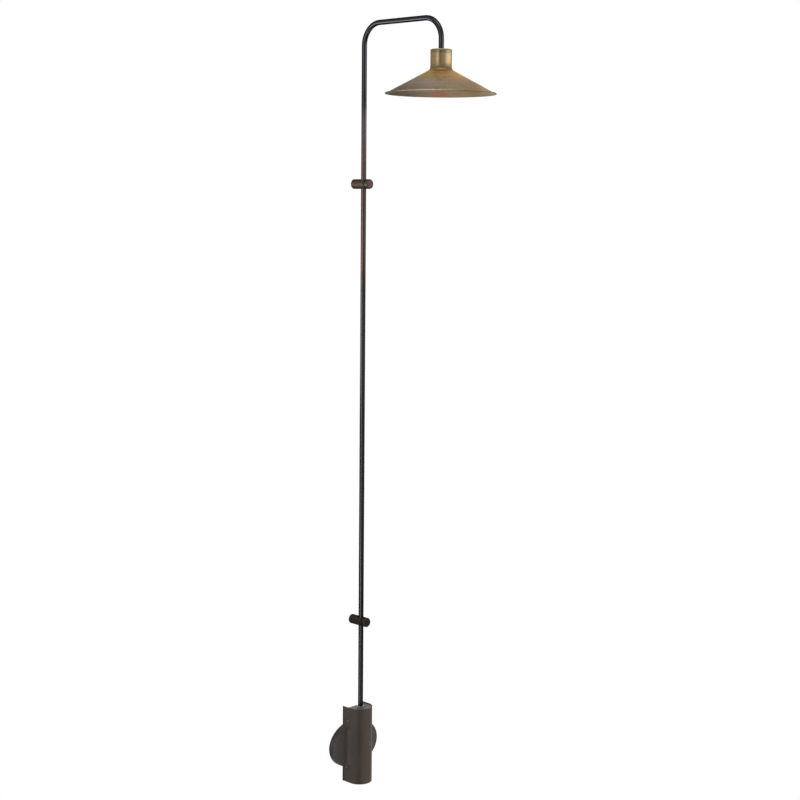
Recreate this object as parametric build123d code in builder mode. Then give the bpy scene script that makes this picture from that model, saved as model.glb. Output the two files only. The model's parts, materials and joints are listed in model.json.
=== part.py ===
from build123d import *
import math
import os

# LED wall light: a tall thin stem stands in a half-round driver housing on an oval wall plate,
# turns in two stand-off brackets, bends over at the top and carries a spun brass shade.
# Millimetres, +Z up, the wall is the plane Y = 0 and the room is on its -Y side.
# The origin is the middle of the wall plate's back, where the wall box is.

os.makedirs("parts", exist_ok=True)

# Main sizes
stem_offset = 31.0
stem_radius = 6.0
stem_wall = 1.5
arm_height = 1701.5
arm_reach = 238.0
bend_radius = 48.0
upper_bracket_height = 1341.0
lower_bracket_height = 308.0
stem_foot_height = 52.0
joint_above_bracket = 8.0

# Clearances
running_gap = 0.05
thread_gap = 0.05
seat_gap = 0.1
slip_gap = 0.4
overrun = 6.0

# Screw sizes
large_screw_radius = 2.0
large_head_radius = 3.7
large_head_height = 2.4
small_screw_radius = 1.5
small_head_radius = 2.8
small_head_height = 1.6
screw_pass_gap = 0.25
head_round_share = 0.4

# Wall plate
canopy_width = 148.0
canopy_height = 113.0
canopy_depth = 15.0
canopy_sheet = 1.2
canopy_edge_round = 2.2

# Mounting strap behind the wall plate
strap_length = 104.0
strap_width = 18.0
strap_thickness = 2.0
strap_centre_hole_radius = 5.25
box_slot_spacing = 79.4
box_slot_length = 14.4
box_slot_width = 4.8
mounting_screw_reach = 20.0
ground_screw_reach = 11.5
screw_tip_setback = 0.2

# Housing shell
housing_half_width = 30.0
housing_sheet = 1.2
housing_back_gap = 1.0
housing_straight_depth = 27.6
housing_top = 98.0
housing_bottom = -88.0
housing_edge_round = 0.35

# Chassis behind the housing
chassis_sheet = 1.2
chassis_flange_depth = 12.0
chassis_bend_round = 1.0
side_screw_height = 64.0
side_screw_depth = 18.5

# End plates
plate_recess = 2.0
plate_sheet = 1.5
plate_tab_inner = 12.0
plate_tab_outer = 22.0
plate_tab_height = 8.0
vent_slot_length = 24.0
vent_slot_width = 3.0
vent_slot_pitch = 7.0
vent_slot_count = 4
rivet_radius = 1.6
rivet_head_radius = 2.9
rivet_head_height = 1.1

# Stem bearing in the top plate
bushing_flange_radius = 9.0
bushing_flange_height = 3.0
bushing_flange_round = 0.6
bushing_sleeve_radius = 7.9
bushing_sleeve_length = 8.0
bushing_nut_radius = 11.0
bushing_nut_height = 2.5

# Shelf that carries the stem, with its turning stops
shelf_height = 60.0
shelf_sheet = 2.0
shelf_half_width = 17.0
shelf_reach = 43.0
shelf_hole_gap = 0.4
shelf_flange_height = 22.0
shelf_screw_reach = 10.0
shelf_screw_height = 12.0
stop_ear_front = 5.5
stop_ear_back = 2.0
stop_ear_height = 10.0
washer_radius = 10.5
washer_gap = 0.3
washer_thickness = 1.2
collar_radius = 11.0
collar_height = 10.0
collar_round = 0.6
stop_pin_radius = 1.5
stop_pin_reach = 17.5
collar_screw_reach = 10.6

# Driver, terminals and leads
driver_bottom = -74.0
driver_height = 56.0
driver_half_width = 19.0
driver_depth = 25.0
driver_round = 2.0
driver_ear_height = 6.0
driver_ear_half_width = 8.0
driver_ear_sheet = 1.6
terminal_height = 42.0
terminal_width = 28.0
terminal_body_height = 15.0
terminal_depth = 12.0
terminal_pole_spacing = 9.3
terminal_well_radius = 2.2
terminal_well_depth = 6.0
terminal_wire_radius = 1.5
terminal_wire_depth = 5.0
terminal_clip_radius = 1.6
wire_hole_height = 20.0
grommet_groove_radius = 7.4
grommet_flange_radius = 9.0
grommet_flange_depth = 2.0
grommet_bore_radius = 4.5
lead_radius = 1.2
lead_stand_off = 6.8
lead_bow_out = 2.7
lead_bow_forward = 4.0
lead_bend_radius = 12.0
lead_straight = 9.0
cable_radius = 2.1

# Stand-off brackets
barrel_radius = 11.25
barrel_front = 41.2
barrel_edge_round = 0.6
boss_radius = 9.0
boss_thickness = 6.0
wall_screw_radius = 2.25
wall_screw_head_radius = 4.4
liner_radius = 7.2
liner_end_gap = 0.5
pinch_screw_radius = 2.0
pinch_screw_inner = 6.8
pinch_screw_end_gap = 0.35
groove_width = 1.5
knob_neck_radius = 7.0
knob_length = 10.0
knob_front_round = 2.4
knob_back_round = 2.2
knob_stud_radius = 3.0
pad_radius = 2.8
pad_thickness = 1.6

# Threaded tube joints
nipple_radius = 5.0
nipple_bore_radius = 3.5
nipple_engagement = 12.0

# Shade
shade_rim_radius = 122.0
shade_drop = 166.0
shade_cone_height = 52.5
shade_neck_radius = 23.5
shade_neck_height = 43.5
shade_sheet = 1.2
shade_shoulder_round = 2.6
shade_throat_round = 9.0
shade_hem_radius = 1.3
shade_hole_gap = 0.1

# Lamp inside the shade's neck
lock_washer_radius = 9.0
lock_washer_thickness = 1.2
locknut_flats = 14.0
locknut_height = 4.0
sink_height = 31.6
sink_post_radius = 9.0
sink_base_radius = 20.9
sink_base_height = 6.0
sink_fin_radius = 21.4
sink_fin_sheet = 1.4
sink_fin_drop = 3.0
sink_fin_count = 16
sink_wire_gap = 0.5
board_radius = 20.0
board_thickness = 1.6
chip_size = 3.0
chip_thickness = 0.7
chip_circle_radius = 9.0
chip_count = 8
board_screw_circle = 17.4
board_screw_length = 5.0
board_screw_count = 3
reflector_top_radius = 12.2
reflector_bottom_radius = 20.6
reflector_height = 16.4
reflector_sheet = 1.0
diffuser_thickness = 2.0
bezel_wall = 0.95
bezel_lip_radius = 18.6
bezel_lip_thickness = 1.5
bezel_thread_length = 3.0
bezel_round = 0.5

# Places that follow from the sizes above
drop_offset = stem_offset + arm_reach
stem_bore = stem_radius - stem_wall
web_back = canopy_depth
web_front = web_back + chassis_sheet
housing_curve = housing_back_gap + housing_straight_depth
housing_inner = housing_half_width - housing_sheet
insert_half_width = housing_inner - slip_gap
plate_top = housing_top - plate_recess
plate_bottom = housing_bottom + plate_recess
chassis_top = plate_top - plate_sheet
lead_depth = web_front + lead_stand_off
chassis_bottom = plate_bottom + plate_sheet
joint_height = upper_bracket_height + joint_above_bracket
shade_rim_height = arm_height - shade_drop
shade_throat_height = shade_rim_height + shade_cone_height
shade_top = shade_throat_height + shade_neck_height
collar_foot = shelf_height + washer_thickness + seat_gap
collar_middle = collar_foot + collar_height / 2
driver_top = driver_bottom + driver_height
brackets = {"upper": upper_bracket_height, "lower": lower_bracket_height}

stem_plane = Plane(origin=(0, -stem_offset, 0), z_dir=(0, 0, 1))
drop_plane = Plane(origin=(0, -drop_offset, 0), z_dir=(0, 0, 1))


def housing_outline(half_width, back):
    """Plan of the half-round housing: straight sides from the back, then a half circle."""
    with BuildSketch() as outline:
        with BuildLine():
            Line((-half_width, -housing_curve), (-half_width, -back))
            Line((-half_width, -back), (half_width, -back))
            Line((half_width, -back), (half_width, -housing_curve))
            ThreePointArc(
                (half_width, -housing_curve),
                (0, -housing_curve - half_width),
                (-half_width, -housing_curve),
            )
        make_face()
    return outline.sketch


def headed_screws(seat, places, shank_radius, shank_length, head_radius, head_height):
    """Round-headed screws or rivets whose heads stand on the seat plane at the given places."""
    with BuildPart() as screws:
        with BuildSketch():
            with Locations(*places):
                Circle(head_radius)
        extrude(amount=head_height)
        fillet(screws.faces().group_by(Axis.Z)[-1].edges(), head_height * head_round_share)
        with BuildSketch():
            with Locations(*places):
                Circle(shank_radius)
        extrude(amount=-shank_length)
    return screws.part.moved(seat.location)


def save(piece, name):
    """Name a finished piece and write it as its own file."""
    piece.label = name
    export_step(piece, f"parts/{name}.step")


# Wall plate: an oval pan pressed from sheet, open at the wall
with BuildPart() as canopy:
    with BuildSketch(Plane.XZ):
        Ellipse(canopy_width / 2, canopy_height / 2)
    extrude(amount=canopy_depth)
    fillet(canopy.faces().sort_by(Axis.Y)[0].edges(), canopy_edge_round)
    with BuildSketch(Plane.XZ.offset(-overrun)):
        Ellipse(canopy_width / 2 - canopy_sheet, canopy_height / 2 - canopy_sheet)
    extrude(amount=overrun + canopy_depth - canopy_sheet, mode=Mode.SUBTRACT)
    with BuildSketch(Plane.XZ):
        with Locations((0, wire_hole_height)):
            Circle(grommet_groove_radius + seat_gap)
        with GridLocations(2 * mounting_screw_reach, 0, 2, 1):
            Circle(large_screw_radius + screw_pass_gap)
    extrude(amount=canopy_depth + overrun, mode=Mode.SUBTRACT)
save(canopy.part, "canopy")

# Mounting strap: screwed to the wall box through its two long slots
with BuildPart() as crossbar:
    with BuildSketch(Plane.XZ):
        SlotOverall(strap_length, strap_width)
        Circle(strap_centre_hole_radius, mode=Mode.SUBTRACT)
        with GridLocations(box_slot_spacing, 0, 2, 1):
            SlotOverall(box_slot_length, box_slot_width, mode=Mode.SUBTRACT)
        with GridLocations(2 * mounting_screw_reach, 0, 2, 1):
            Circle(large_screw_radius, mode=Mode.SUBTRACT)
        with Locations((ground_screw_reach, 0)):
            Circle(small_screw_radius, mode=Mode.SUBTRACT)
    extrude(amount=strap_thickness)
save(crossbar.part, "crossbar")

ground_screw = headed_screws(
    Plane.XZ.offset(strap_thickness), [(ground_screw_reach, 0)],
    small_screw_radius - thread_gap, strap_thickness - screw_tip_setback,
    small_head_radius, small_head_height,
)
save(ground_screw, "ground_screw")

mounting_screws = headed_screws(
    Plane.XZ.offset(web_front), [(-mounting_screw_reach, 0), (mounting_screw_reach, 0)],
    large_screw_radius - thread_gap, web_front - screw_tip_setback,
    large_head_radius, large_head_height,
)
save(mounting_screws, "mounting_screws")

# Chassis: a sheet channel that the housing slides over
with BuildPart() as chassis:
    with BuildSketch(Plane.XY.offset(chassis_bottom)):
        with Locations((0, -web_back)):
            Rectangle(2 * insert_half_width, chassis_flange_depth, align=(Align.CENTER, Align.MAX))
    extrude(amount=chassis_top - chassis_bottom)
    fillet(chassis.edges().filter_by(Axis.Z).group_by(Axis.Y)[-1], chassis_bend_round)
    with BuildSketch(Plane.XY.offset(chassis_bottom - overrun)):
        with Locations((0, -web_front)):
            Rectangle(2 * (insert_half_width - chassis_sheet), chassis_flange_depth + overrun,
                      align=(Align.CENTER, Align.MAX))
    extrude(amount=chassis_top - chassis_bottom + 2 * overrun, mode=Mode.SUBTRACT)
    with BuildSketch(Plane.XZ):
        with Locations((0, wire_hole_height)):
            Circle(grommet_groove_radius + seat_gap)
        with GridLocations(2 * mounting_screw_reach, 0, 2, 1):
            Circle(large_screw_radius + screw_pass_gap)
        with Locations((0, driver_bottom - driver_ear_height / 2), (0, driver_top + driver_ear_height / 2)):
            Circle(small_screw_radius)
        with Locations((-shelf_screw_reach, shelf_height + shelf_screw_height),
                       (shelf_screw_reach, shelf_height + shelf_screw_height)):
            Circle(small_screw_radius)
        with Locations((0, (chassis_top + chassis_bottom) / 2)):
            with GridLocations(plate_tab_inner + plate_tab_outer,
                               chassis_top - chassis_bottom - plate_tab_height, 2, 2):
                Circle(rivet_radius + thread_gap)
        with Locations((0, terminal_height)):
            with GridLocations(terminal_pole_spacing, 0, 2, 1):
                Circle(terminal_clip_radius + thread_gap)
    extrude(amount=web_front + overrun, mode=Mode.SUBTRACT)
    with BuildSketch(Plane.YZ.offset(-housing_half_width)):
        with Locations((-side_screw_depth, side_screw_height)):
            Circle(small_screw_radius)
    extrude(amount=2 * housing_half_width, mode=Mode.SUBTRACT)
save(chassis.part, "chassis")

# Housing: a half-round sheet shell, notched at the back where it straddles the wall plate
shell_outer = housing_outline(housing_half_width, housing_back_gap)
shell_inner = housing_outline(housing_inner, housing_back_gap - overrun)
with BuildPart() as housing_shell:
    with BuildSketch(Plane.XY.offset(housing_bottom)):
        add(shell_outer)
        add(shell_inner, mode=Mode.SUBTRACT)
    extrude(amount=housing_top - housing_bottom)
    fillet(housing_shell.faces().group_by(Axis.Z)[-1].edges(), housing_edge_round)
    fillet(housing_shell.faces().group_by(Axis.Z)[0].edges(), housing_edge_round)
    with BuildSketch(Plane.XZ):
        Ellipse(canopy_width / 2 + slip_gap, canopy_height / 2 + slip_gap)
    extrude(amount=canopy_depth + slip_gap, mode=Mode.SUBTRACT)
    with BuildSketch(Plane.YZ.offset(-housing_half_width - overrun)):
        with Locations((-side_screw_depth, side_screw_height)):
            Circle(small_screw_radius + screw_pass_gap)
    extrude(amount=2 * (housing_half_width + overrun), mode=Mode.SUBTRACT)
save(housing_shell.part, "housing_shell")

# Side screws: one through each side of the housing into the chassis
left_screw = headed_screws(
    Plane(origin=(-housing_half_width, -side_screw_depth, side_screw_height), z_dir=(-1, 0, 0)), [(0, 0)],
    small_screw_radius - thread_gap, housing_sheet + slip_gap + chassis_sheet,
    small_head_radius, small_head_height,
)
with BuildPart() as side_screws:
    add(left_screw)
    mirror(about=Plane.YZ)
save(side_screws.part, "side_screws")

# End plates: half-round inserts with two tabs folded along the chassis
plate_outline = housing_outline(insert_half_width, web_back)
tab_reach = (plate_tab_inner + plate_tab_outer) / 2
tab_width = plate_tab_outer - plate_tab_inner
for plate_name, plate_foot, tab_foot in (
    ("top_plate", chassis_top, chassis_top - plate_tab_height),
    ("bottom_plate", plate_bottom, chassis_bottom),
):
    with BuildPart() as end_plate:
        with BuildSketch(Plane.XY.offset(plate_foot)):
            add(plate_outline)
        extrude(amount=plate_sheet)
        with BuildSketch(Plane.XY.offset(tab_foot)):
            with GridLocations(2 * tab_reach, 0, 2, 1):
                with Locations((0, -web_front)):
                    Rectangle(tab_width, plate_sheet, align=(Align.CENTER, Align.MAX))
        extrude(amount=plate_tab_height)
        with BuildSketch(Plane.XZ):
            with Locations((0, tab_foot + plate_tab_height / 2)):
                with GridLocations(2 * tab_reach, 0, 2, 1):
                    Circle(rivet_radius + thread_gap)
        extrude(amount=web_front + plate_sheet + overrun, mode=Mode.SUBTRACT)
        if plate_name == "top_plate":
            with BuildSketch(stem_plane.offset(plate_foot)):
                Circle(bushing_sleeve_radius + thread_gap)
        else:
            with BuildSketch(stem_plane.offset(plate_foot)):
                with GridLocations(0, vent_slot_pitch, 1, vent_slot_count):
                    SlotOverall(vent_slot_length, vent_slot_width)
        extrude(amount=plate_sheet, mode=Mode.SUBTRACT)
    save(end_plate.part, plate_name)

rivet_rows = (chassis_top - plate_tab_height / 2, chassis_bottom + plate_tab_height / 2)
plate_rivets = headed_screws(
    Plane.XZ.offset(web_front + plate_sheet),
    [(side * tab_reach, row) for row in rivet_rows for side in (-1, 1)],
    rivet_radius, plate_sheet + chassis_sheet, rivet_head_radius, rivet_head_height,
)
save(plate_rivets, "plate_rivets")

# Stem bearing: a flanged bush in the top plate, held by a ring nut below
with BuildPart() as stem_bushing:
    with BuildSketch(stem_plane.offset(plate_top)):
        Circle(bushing_flange_radius)
    extrude(amount=bushing_flange_height)
    fillet(stem_bushing.faces().sort_by(Axis.Z)[-1].edges(), bushing_flange_round)
    with BuildSketch(stem_plane.offset(plate_top)):
        Circle(bushing_sleeve_radius)
    extrude(amount=-bushing_sleeve_length)
    with BuildSketch(stem_plane.offset(plate_top - bushing_sleeve_length - overrun)):
        Circle(stem_radius + running_gap)
    extrude(amount=bushing_sleeve_length + bushing_flange_height + 2 * overrun, mode=Mode.SUBTRACT)
save(stem_bushing.part, "stem_bushing")

with BuildPart() as bushing_nut:
    with BuildSketch(stem_plane.offset(chassis_top)):
        RegularPolygon(bushing_nut_radius, 6)
        Circle(bushing_sleeve_radius + thread_gap, mode=Mode.SUBTRACT)
    extrude(amount=-bushing_nut_height)
save(bushing_nut.part, "bushing_nut")

# Shelf: a folded bracket that carries the stem, with two ears that stop its swing
with BuildPart() as pivot_shelf:
    with BuildSketch(Plane.XY.offset(shelf_height - shelf_sheet)):
        with Locations((0, -web_front)):
            Rectangle(2 * shelf_half_width, shelf_reach - web_front, align=(Align.CENTER, Align.MAX))
        with Locations((0, -stem_offset)):
            Circle(stem_radius + shelf_hole_gap, mode=Mode.SUBTRACT)
    extrude(amount=shelf_sheet)
    with BuildSketch(Plane.XY.offset(shelf_height)):
        with Locations((0, -web_front)):
            Rectangle(2 * shelf_half_width, shelf_sheet, align=(Align.CENTER, Align.MAX))
    extrude(amount=shelf_flange_height)
    with BuildSketch(Plane.XY.offset(shelf_height)):
        with Locations((0, -stem_offset + stop_ear_back)):
            with GridLocations(2 * shelf_half_width - shelf_sheet, 0, 2, 1):
                Rectangle(shelf_sheet, stop_ear_front + stop_ear_back, align=(Align.CENTER, Align.MAX))
    extrude(amount=stop_ear_height)
    with BuildSketch(Plane.XZ):
        with Locations((0, shelf_height + shelf_screw_height)):
            with GridLocations(2 * shelf_screw_reach, 0, 2, 1):
                Circle(small_screw_radius + thread_gap)
    extrude(amount=web_front + shelf_sheet + overrun, mode=Mode.SUBTRACT)
save(pivot_shelf.part, "pivot_shelf")

shelf_screws = headed_screws(
    Plane.XZ.offset(web_front + shelf_sheet),
    [(side * shelf_screw_reach, shelf_height + shelf_screw_height) for side in (-1, 1)],
    small_screw_radius - thread_gap, shelf_sheet + chassis_sheet,
    small_head_radius, small_head_height,
)
save(shelf_screws, "shelf_screws")

with BuildPart() as thrust_washer:
    with BuildSketch(stem_plane.offset(shelf_height)):
        Circle(washer_radius)
        Circle(stem_radius + washer_gap, mode=Mode.SUBTRACT)
    extrude(amount=washer_thickness)
save(thrust_washer.part, "thrust_washer")

# Collar: clamped on the stem, it rests on the washer and its pin meets the ears
with BuildPart() as stem_collar:
    with BuildSketch(stem_plane.offset(collar_foot)):
        Circle(collar_radius)
    extrude(amount=collar_height)
    fillet(stem_collar.edges().filter_by(GeomType.CIRCLE), collar_round)
    with BuildSketch(stem_plane.offset(collar_foot)):
        Circle(stem_radius + thread_gap)
    extrude(amount=collar_height, mode=Mode.SUBTRACT)
    with BuildSketch(Plane.XZ.offset(stem_offset)):
        with Locations((0, collar_middle)):
            Circle(stop_pin_radius)
    extrude(amount=collar_radius + overrun, mode=Mode.SUBTRACT)
    with BuildSketch(Plane.XZ.offset(stem_offset)):
        with Locations((0, collar_middle)):
            Circle(large_screw_radius)
    extrude(amount=-collar_radius - overrun, mode=Mode.SUBTRACT)
save(stem_collar.part, "stem_collar")

with BuildPart() as stop_pin:
    with BuildSketch(Plane.XZ.offset(stem_offset + stem_radius + thread_gap)):
        with Locations((0, collar_middle)):
            Circle(stop_pin_radius - thread_gap)
    extrude(amount=stop_pin_reach - stem_radius - thread_gap)
save(stop_pin.part, "stop_pin")

with BuildPart() as collar_screw:
    with BuildSketch(Plane.XZ.offset(stem_offset - stem_radius - thread_gap)):
        with Locations((0, collar_middle)):
            Circle(large_screw_radius - thread_gap)
    extrude(amount=-(collar_screw_reach - stem_radius - thread_gap))
save(collar_screw.part, "collar_screw")

# Driver: a sealed power supply with a screw ear at each end
with BuildPart() as led_driver:
    with BuildSketch(Plane.XZ.offset(web_front)):
        with Locations((0, driver_bottom)):
            Rectangle(2 * driver_half_width, driver_height, align=(Align.CENTER, Align.MIN))
    extrude(amount=driver_depth)
    fillet(led_driver.edges().filter_by(Axis.Y), driver_round)
    fillet(led_driver.faces().sort_by(Axis.Y)[0].edges(), driver_round / 2)
    with BuildSketch(Plane.XZ.offset(web_front)):
        with Locations((0, driver_bottom - driver_ear_height)):
            Rectangle(2 * driver_ear_half_width, driver_height + 2 * driver_ear_height,
                      align=(Align.CENTER, Align.MIN))
        with Locations((0, driver_bottom - driver_ear_height / 2), (0, driver_top + driver_ear_height / 2)):
            Circle(small_screw_radius + thread_gap, mode=Mode.SUBTRACT)
    extrude(amount=driver_ear_sheet)
save(led_driver.part, "led_driver")

driver_screws = headed_screws(
    Plane.XZ.offset(web_front + driver_ear_sheet),
    [(0, driver_bottom - driver_ear_height / 2), (0, driver_top + driver_ear_height / 2)],
    small_screw_radius - thread_gap, driver_ear_sheet + chassis_sheet,
    small_head_radius, small_head_height,
)
save(driver_screws, "driver_screws")

# Terminal block: three poles with a screw well in front and a wire way through
with BuildPart() as terminal_block:
    with BuildSketch(Plane.XZ.offset(web_front)):
        with Locations((0, terminal_height)):
            Rectangle(terminal_width, terminal_body_height)
    extrude(amount=terminal_depth)
    with BuildSketch(Plane.XZ.offset(web_front + terminal_depth)):
        with Locations((0, terminal_height)):
            with GridLocations(terminal_pole_spacing, 0, 3, 1):
                Circle(terminal_well_radius)
    extrude(amount=-terminal_well_depth, mode=Mode.SUBTRACT)
    with BuildSketch(Plane.XY.offset(terminal_height + terminal_body_height / 2)):
        with Locations((0, -lead_depth)):
            with GridLocations(terminal_pole_spacing, 0, 3, 1):
                Circle(terminal_wire_radius)
    extrude(amount=-terminal_wire_depth, mode=Mode.SUBTRACT)
    with BuildSketch(Plane.XZ.offset(web_front)):
        with Locations((0, terminal_height)):
            with GridLocations(terminal_pole_spacing, 0, 2, 1):
                Circle(terminal_clip_radius)
    extrude(amount=-chassis_sheet)
save(terminal_block.part, "terminal_block")

# Grommet: lines the hole that the house wires come through
with BuildPart() as wire_grommet:
    with BuildSketch(Plane.XZ.offset(web_back - canopy_sheet - grommet_flange_depth)):
        with Locations((0, wire_hole_height)):
            Circle(grommet_flange_radius)
    extrude(amount=grommet_flange_depth)
    with BuildSketch(Plane.XZ.offset(web_back - canopy_sheet)):
        with Locations((0, wire_hole_height)):
            Circle(grommet_groove_radius)
    extrude(amount=canopy_sheet + chassis_sheet)
    with BuildSketch(Plane.XZ.offset(web_front)):
        with Locations((0, wire_hole_height)):
            Circle(grommet_flange_radius)
    extrude(amount=grommet_flange_depth)
    with BuildSketch(Plane.XZ):
        with Locations((0, wire_hole_height)):
            Circle(grommet_bore_radius)
    extrude(amount=web_front + grommet_flange_depth + overrun, mode=Mode.SUBTRACT)
save(wire_grommet.part, "wire_grommet")

# Input leads: from the two outer poles down to the driver, with a little slack
lead_top = terminal_height - terminal_body_height / 2
lead_middle = (lead_top + driver_top) / 2
for lead_name, side in (("live_lead", -1), ("neutral_lead", 1)):
    lead_x = side * terminal_pole_spacing
    with BuildPart() as lead:
        with BuildLine() as lead_path:
            FilletPolyline(
                (lead_x, -lead_depth, lead_top),
                (lead_x, -lead_depth, lead_top - lead_straight),
                (lead_x + side * lead_bow_out, -lead_depth - lead_bow_forward, lead_middle),
                (lead_x, -lead_depth, driver_top + lead_straight),
                (lead_x, -lead_depth, driver_top),
                radius=lead_bend_radius,
            )
        with BuildSketch(Plane(origin=lead_path.line @ 0, z_dir=lead_path.line % 0)):
            Circle(lead_radius)
        sweep()
    save(lead.part, lead_name)

# Output lead: straight up from the driver to the foot of the stem
with BuildPart() as driver_lead:
    with BuildSketch(stem_plane.offset(driver_top)):
        Circle(cable_radius)
    extrude(amount=stem_foot_height - seat_gap - driver_top)
save(driver_lead.part, "driver_lead")

# Stand-off brackets: a boss on the wall, a barrel over it, a liner round the stem and a clamp knob
liner_half_length = math.sqrt(barrel_radius ** 2 - liner_radius ** 2) - liner_end_gap
knob_neck_back = barrel_front + seat_gap
knob_back = barrel_front + groove_width
stud_tip = stem_offset + stem_radius + seat_gap + pad_thickness
for place, height in brackets.items():
    bracket_plane = Plane(origin=(0, 0, height), x_dir=(1, 0, 0), z_dir=(0, -1, 0))
    with BuildPart() as wall_boss:
        with BuildSketch(bracket_plane):
            Circle(boss_radius)
        extrude(amount=boss_thickness)
        with Locations(Plane(origin=(0, -boss_thickness, height), z_dir=(0, -1, 0))):
            CounterSinkHole(wall_screw_radius, wall_screw_head_radius, depth=boss_thickness)
        with BuildSketch(Plane.XY.offset(height - pinch_screw_inner)):
            with Locations((0, -boss_thickness / 2)):
                Circle(pinch_screw_radius + thread_gap)
        extrude(amount=-boss_radius, mode=Mode.SUBTRACT)
    save(wall_boss.part, f"{place}_wall_boss")

    with BuildPart() as barrel:
        with BuildSketch(bracket_plane):
            Circle(barrel_radius)
        extrude(amount=barrel_front)
        fillet(barrel.edges().filter_by(GeomType.CIRCLE), barrel_edge_round)
        with BuildSketch(bracket_plane):
            Circle(boss_radius + thread_gap)
        extrude(amount=boss_thickness + seat_gap, mode=Mode.SUBTRACT)
        with BuildSketch(stem_plane.offset(height - barrel_radius - overrun)):
            Circle(liner_radius + thread_gap)
        extrude(amount=2 * (barrel_radius + overrun), mode=Mode.SUBTRACT)
        with BuildSketch(bracket_plane.offset(stem_offset)):
            Circle(knob_stud_radius + running_gap)
        extrude(amount=barrel_front, mode=Mode.SUBTRACT)
        with BuildSketch(Plane.XY.offset(height)):
            with Locations((0, -boss_thickness / 2)):
                Circle(pinch_screw_radius)
        extrude(amount=-barrel_radius - overrun, mode=Mode.SUBTRACT)
    save(barrel.part, f"{place}_barrel")

    with BuildPart() as liner:
        with BuildSketch(stem_plane.offset(height - liner_half_length)):
            Circle(liner_radius)
            Circle(stem_radius + running_gap, mode=Mode.SUBTRACT)
        extrude(amount=2 * liner_half_length)
        with BuildSketch(bracket_plane.offset(stem_offset)):
            Circle(knob_stud_radius + running_gap)
        extrude(amount=barrel_front, mode=Mode.SUBTRACT)
    save(liner.part, f"{place}_liner")

    with BuildPart() as pinch_screw:
        with BuildSketch(Plane.XY.offset(height - pinch_screw_inner - thread_gap)):
            with Locations((0, -boss_thickness / 2)):
                Circle(pinch_screw_radius - thread_gap)
        extrude(amount=-(barrel_radius - pinch_screw_inner - pinch_screw_end_gap - thread_gap))
    save(pinch_screw.part, f"{place}_pinch_screw")

    with BuildPart() as knob:
        with BuildSketch(bracket_plane.offset(knob_back)):
            Circle(barrel_radius)
        extrude(amount=knob_length)
        fillet(knob.faces().sort_by(Axis.Y)[0].edges(), knob_front_round)
        fillet(knob.faces().sort_by(Axis.Y)[-1].edges(), knob_back_round)
        with BuildSketch(bracket_plane.offset(knob_neck_back)):
            Circle(knob_neck_radius)
        extrude(amount=knob_back - knob_neck_back)
        with BuildSketch(bracket_plane.offset(stud_tip)):
            Circle(knob_stud_radius)
        extrude(amount=knob_neck_back - stud_tip)
    save(knob.part, f"{place}_knob")

    with BuildPart() as pad:
        with BuildSketch(bracket_plane.offset(stud_tip - pad_thickness)):
            Circle(pad_radius)
        extrude(amount=pad_thickness)
    save(pad.part, f"{place}_pad")

# Stem: a straight tube from the shelf to a threaded joint hidden in the upper bracket
with BuildPart() as stem_tube:
    with BuildSketch(stem_plane.offset(stem_foot_height)):
        Circle(stem_radius)
        Circle(stem_bore, mode=Mode.SUBTRACT)
    extrude(amount=joint_height - stem_foot_height)
    with BuildSketch(stem_plane.offset(joint_height)):
        Circle(nipple_radius)
    extrude(amount=-nipple_engagement, mode=Mode.SUBTRACT)
save(stem_tube.part, "stem_tube")

with BuildPart() as stem_coupler:
    with BuildSketch(stem_plane.offset(joint_height - nipple_engagement)):
        Circle(nipple_radius - thread_gap)
        Circle(nipple_bore_radius, mode=Mode.SUBTRACT)
    extrude(amount=2 * nipple_engagement)
save(stem_coupler.part, "stem_coupler")

# Hook: the stem's upper tube, bent into the arm and down again to the shade
with BuildPart() as hook_tube:
    with BuildLine() as hook_path:
        FilletPolyline(
            (0, -stem_offset, joint_height),
            (0, -stem_offset, arm_height),
            (0, -drop_offset, arm_height),
            (0, -drop_offset, shade_top),
            radius=bend_radius,
        )
    with BuildSketch(stem_plane.offset(joint_height)):
        Circle(stem_radius)
        Circle(stem_bore, mode=Mode.SUBTRACT)
    sweep()
    with BuildSketch(stem_plane.offset(joint_height)):
        Circle(nipple_radius)
    extrude(amount=nipple_engagement, mode=Mode.SUBTRACT)
    with BuildSketch(drop_plane.offset(shade_top)):
        Circle(nipple_radius)
    extrude(amount=nipple_engagement, mode=Mode.SUBTRACT)
save(hook_tube.part, "hook_tube")

# Shade: spun brass neck, throat and cone with a rolled hem
cone_run = shade_rim_radius - shade_neck_radius
cone_angle = math.atan2(shade_cone_height, cone_run)
sheet_drop = shade_sheet / math.cos(cone_angle)
neck_inner = shade_neck_radius - shade_sheet
inner_throat = shade_throat_height + shade_sheet * math.tan(cone_angle) - sheet_drop
inner_rim = shade_rim_radius - sheet_drop / math.tan(cone_angle)
shade_hole = nipple_radius + shade_hole_gap
with BuildPart() as shade:
    with BuildSketch(Plane.XZ.offset(drop_offset)) as shade_section:
        with BuildLine():
            Polyline(
                (shade_hole, shade_top),
                (shade_neck_radius, shade_top),
                (shade_neck_radius, shade_throat_height),
                (shade_rim_radius, shade_rim_height),
                (inner_rim, shade_rim_height),
                (neck_inner, inner_throat),
                (neck_inner, shade_top - shade_sheet),
                (shade_hole, shade_top - shade_sheet),
                close=True,
            )
        make_face()
        for radius, height, bend in (
            (shade_neck_radius, shade_top, shade_shoulder_round),
            (neck_inner, shade_top - shade_sheet, shade_shoulder_round - shade_sheet),
            (shade_neck_radius, shade_throat_height, shade_throat_round),
            (neck_inner, inner_throat, shade_throat_round + shade_sheet),
        ):
            fillet(shade_section.vertices().sort_by_distance((radius, height))[0], bend)
        with Locations((shade_rim_radius - shade_hem_radius, shade_rim_height + shade_hem_radius)):
            Circle(shade_hem_radius)
    revolve(axis=Axis((0, -drop_offset, 0), (0, 0, 1)))
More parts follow.
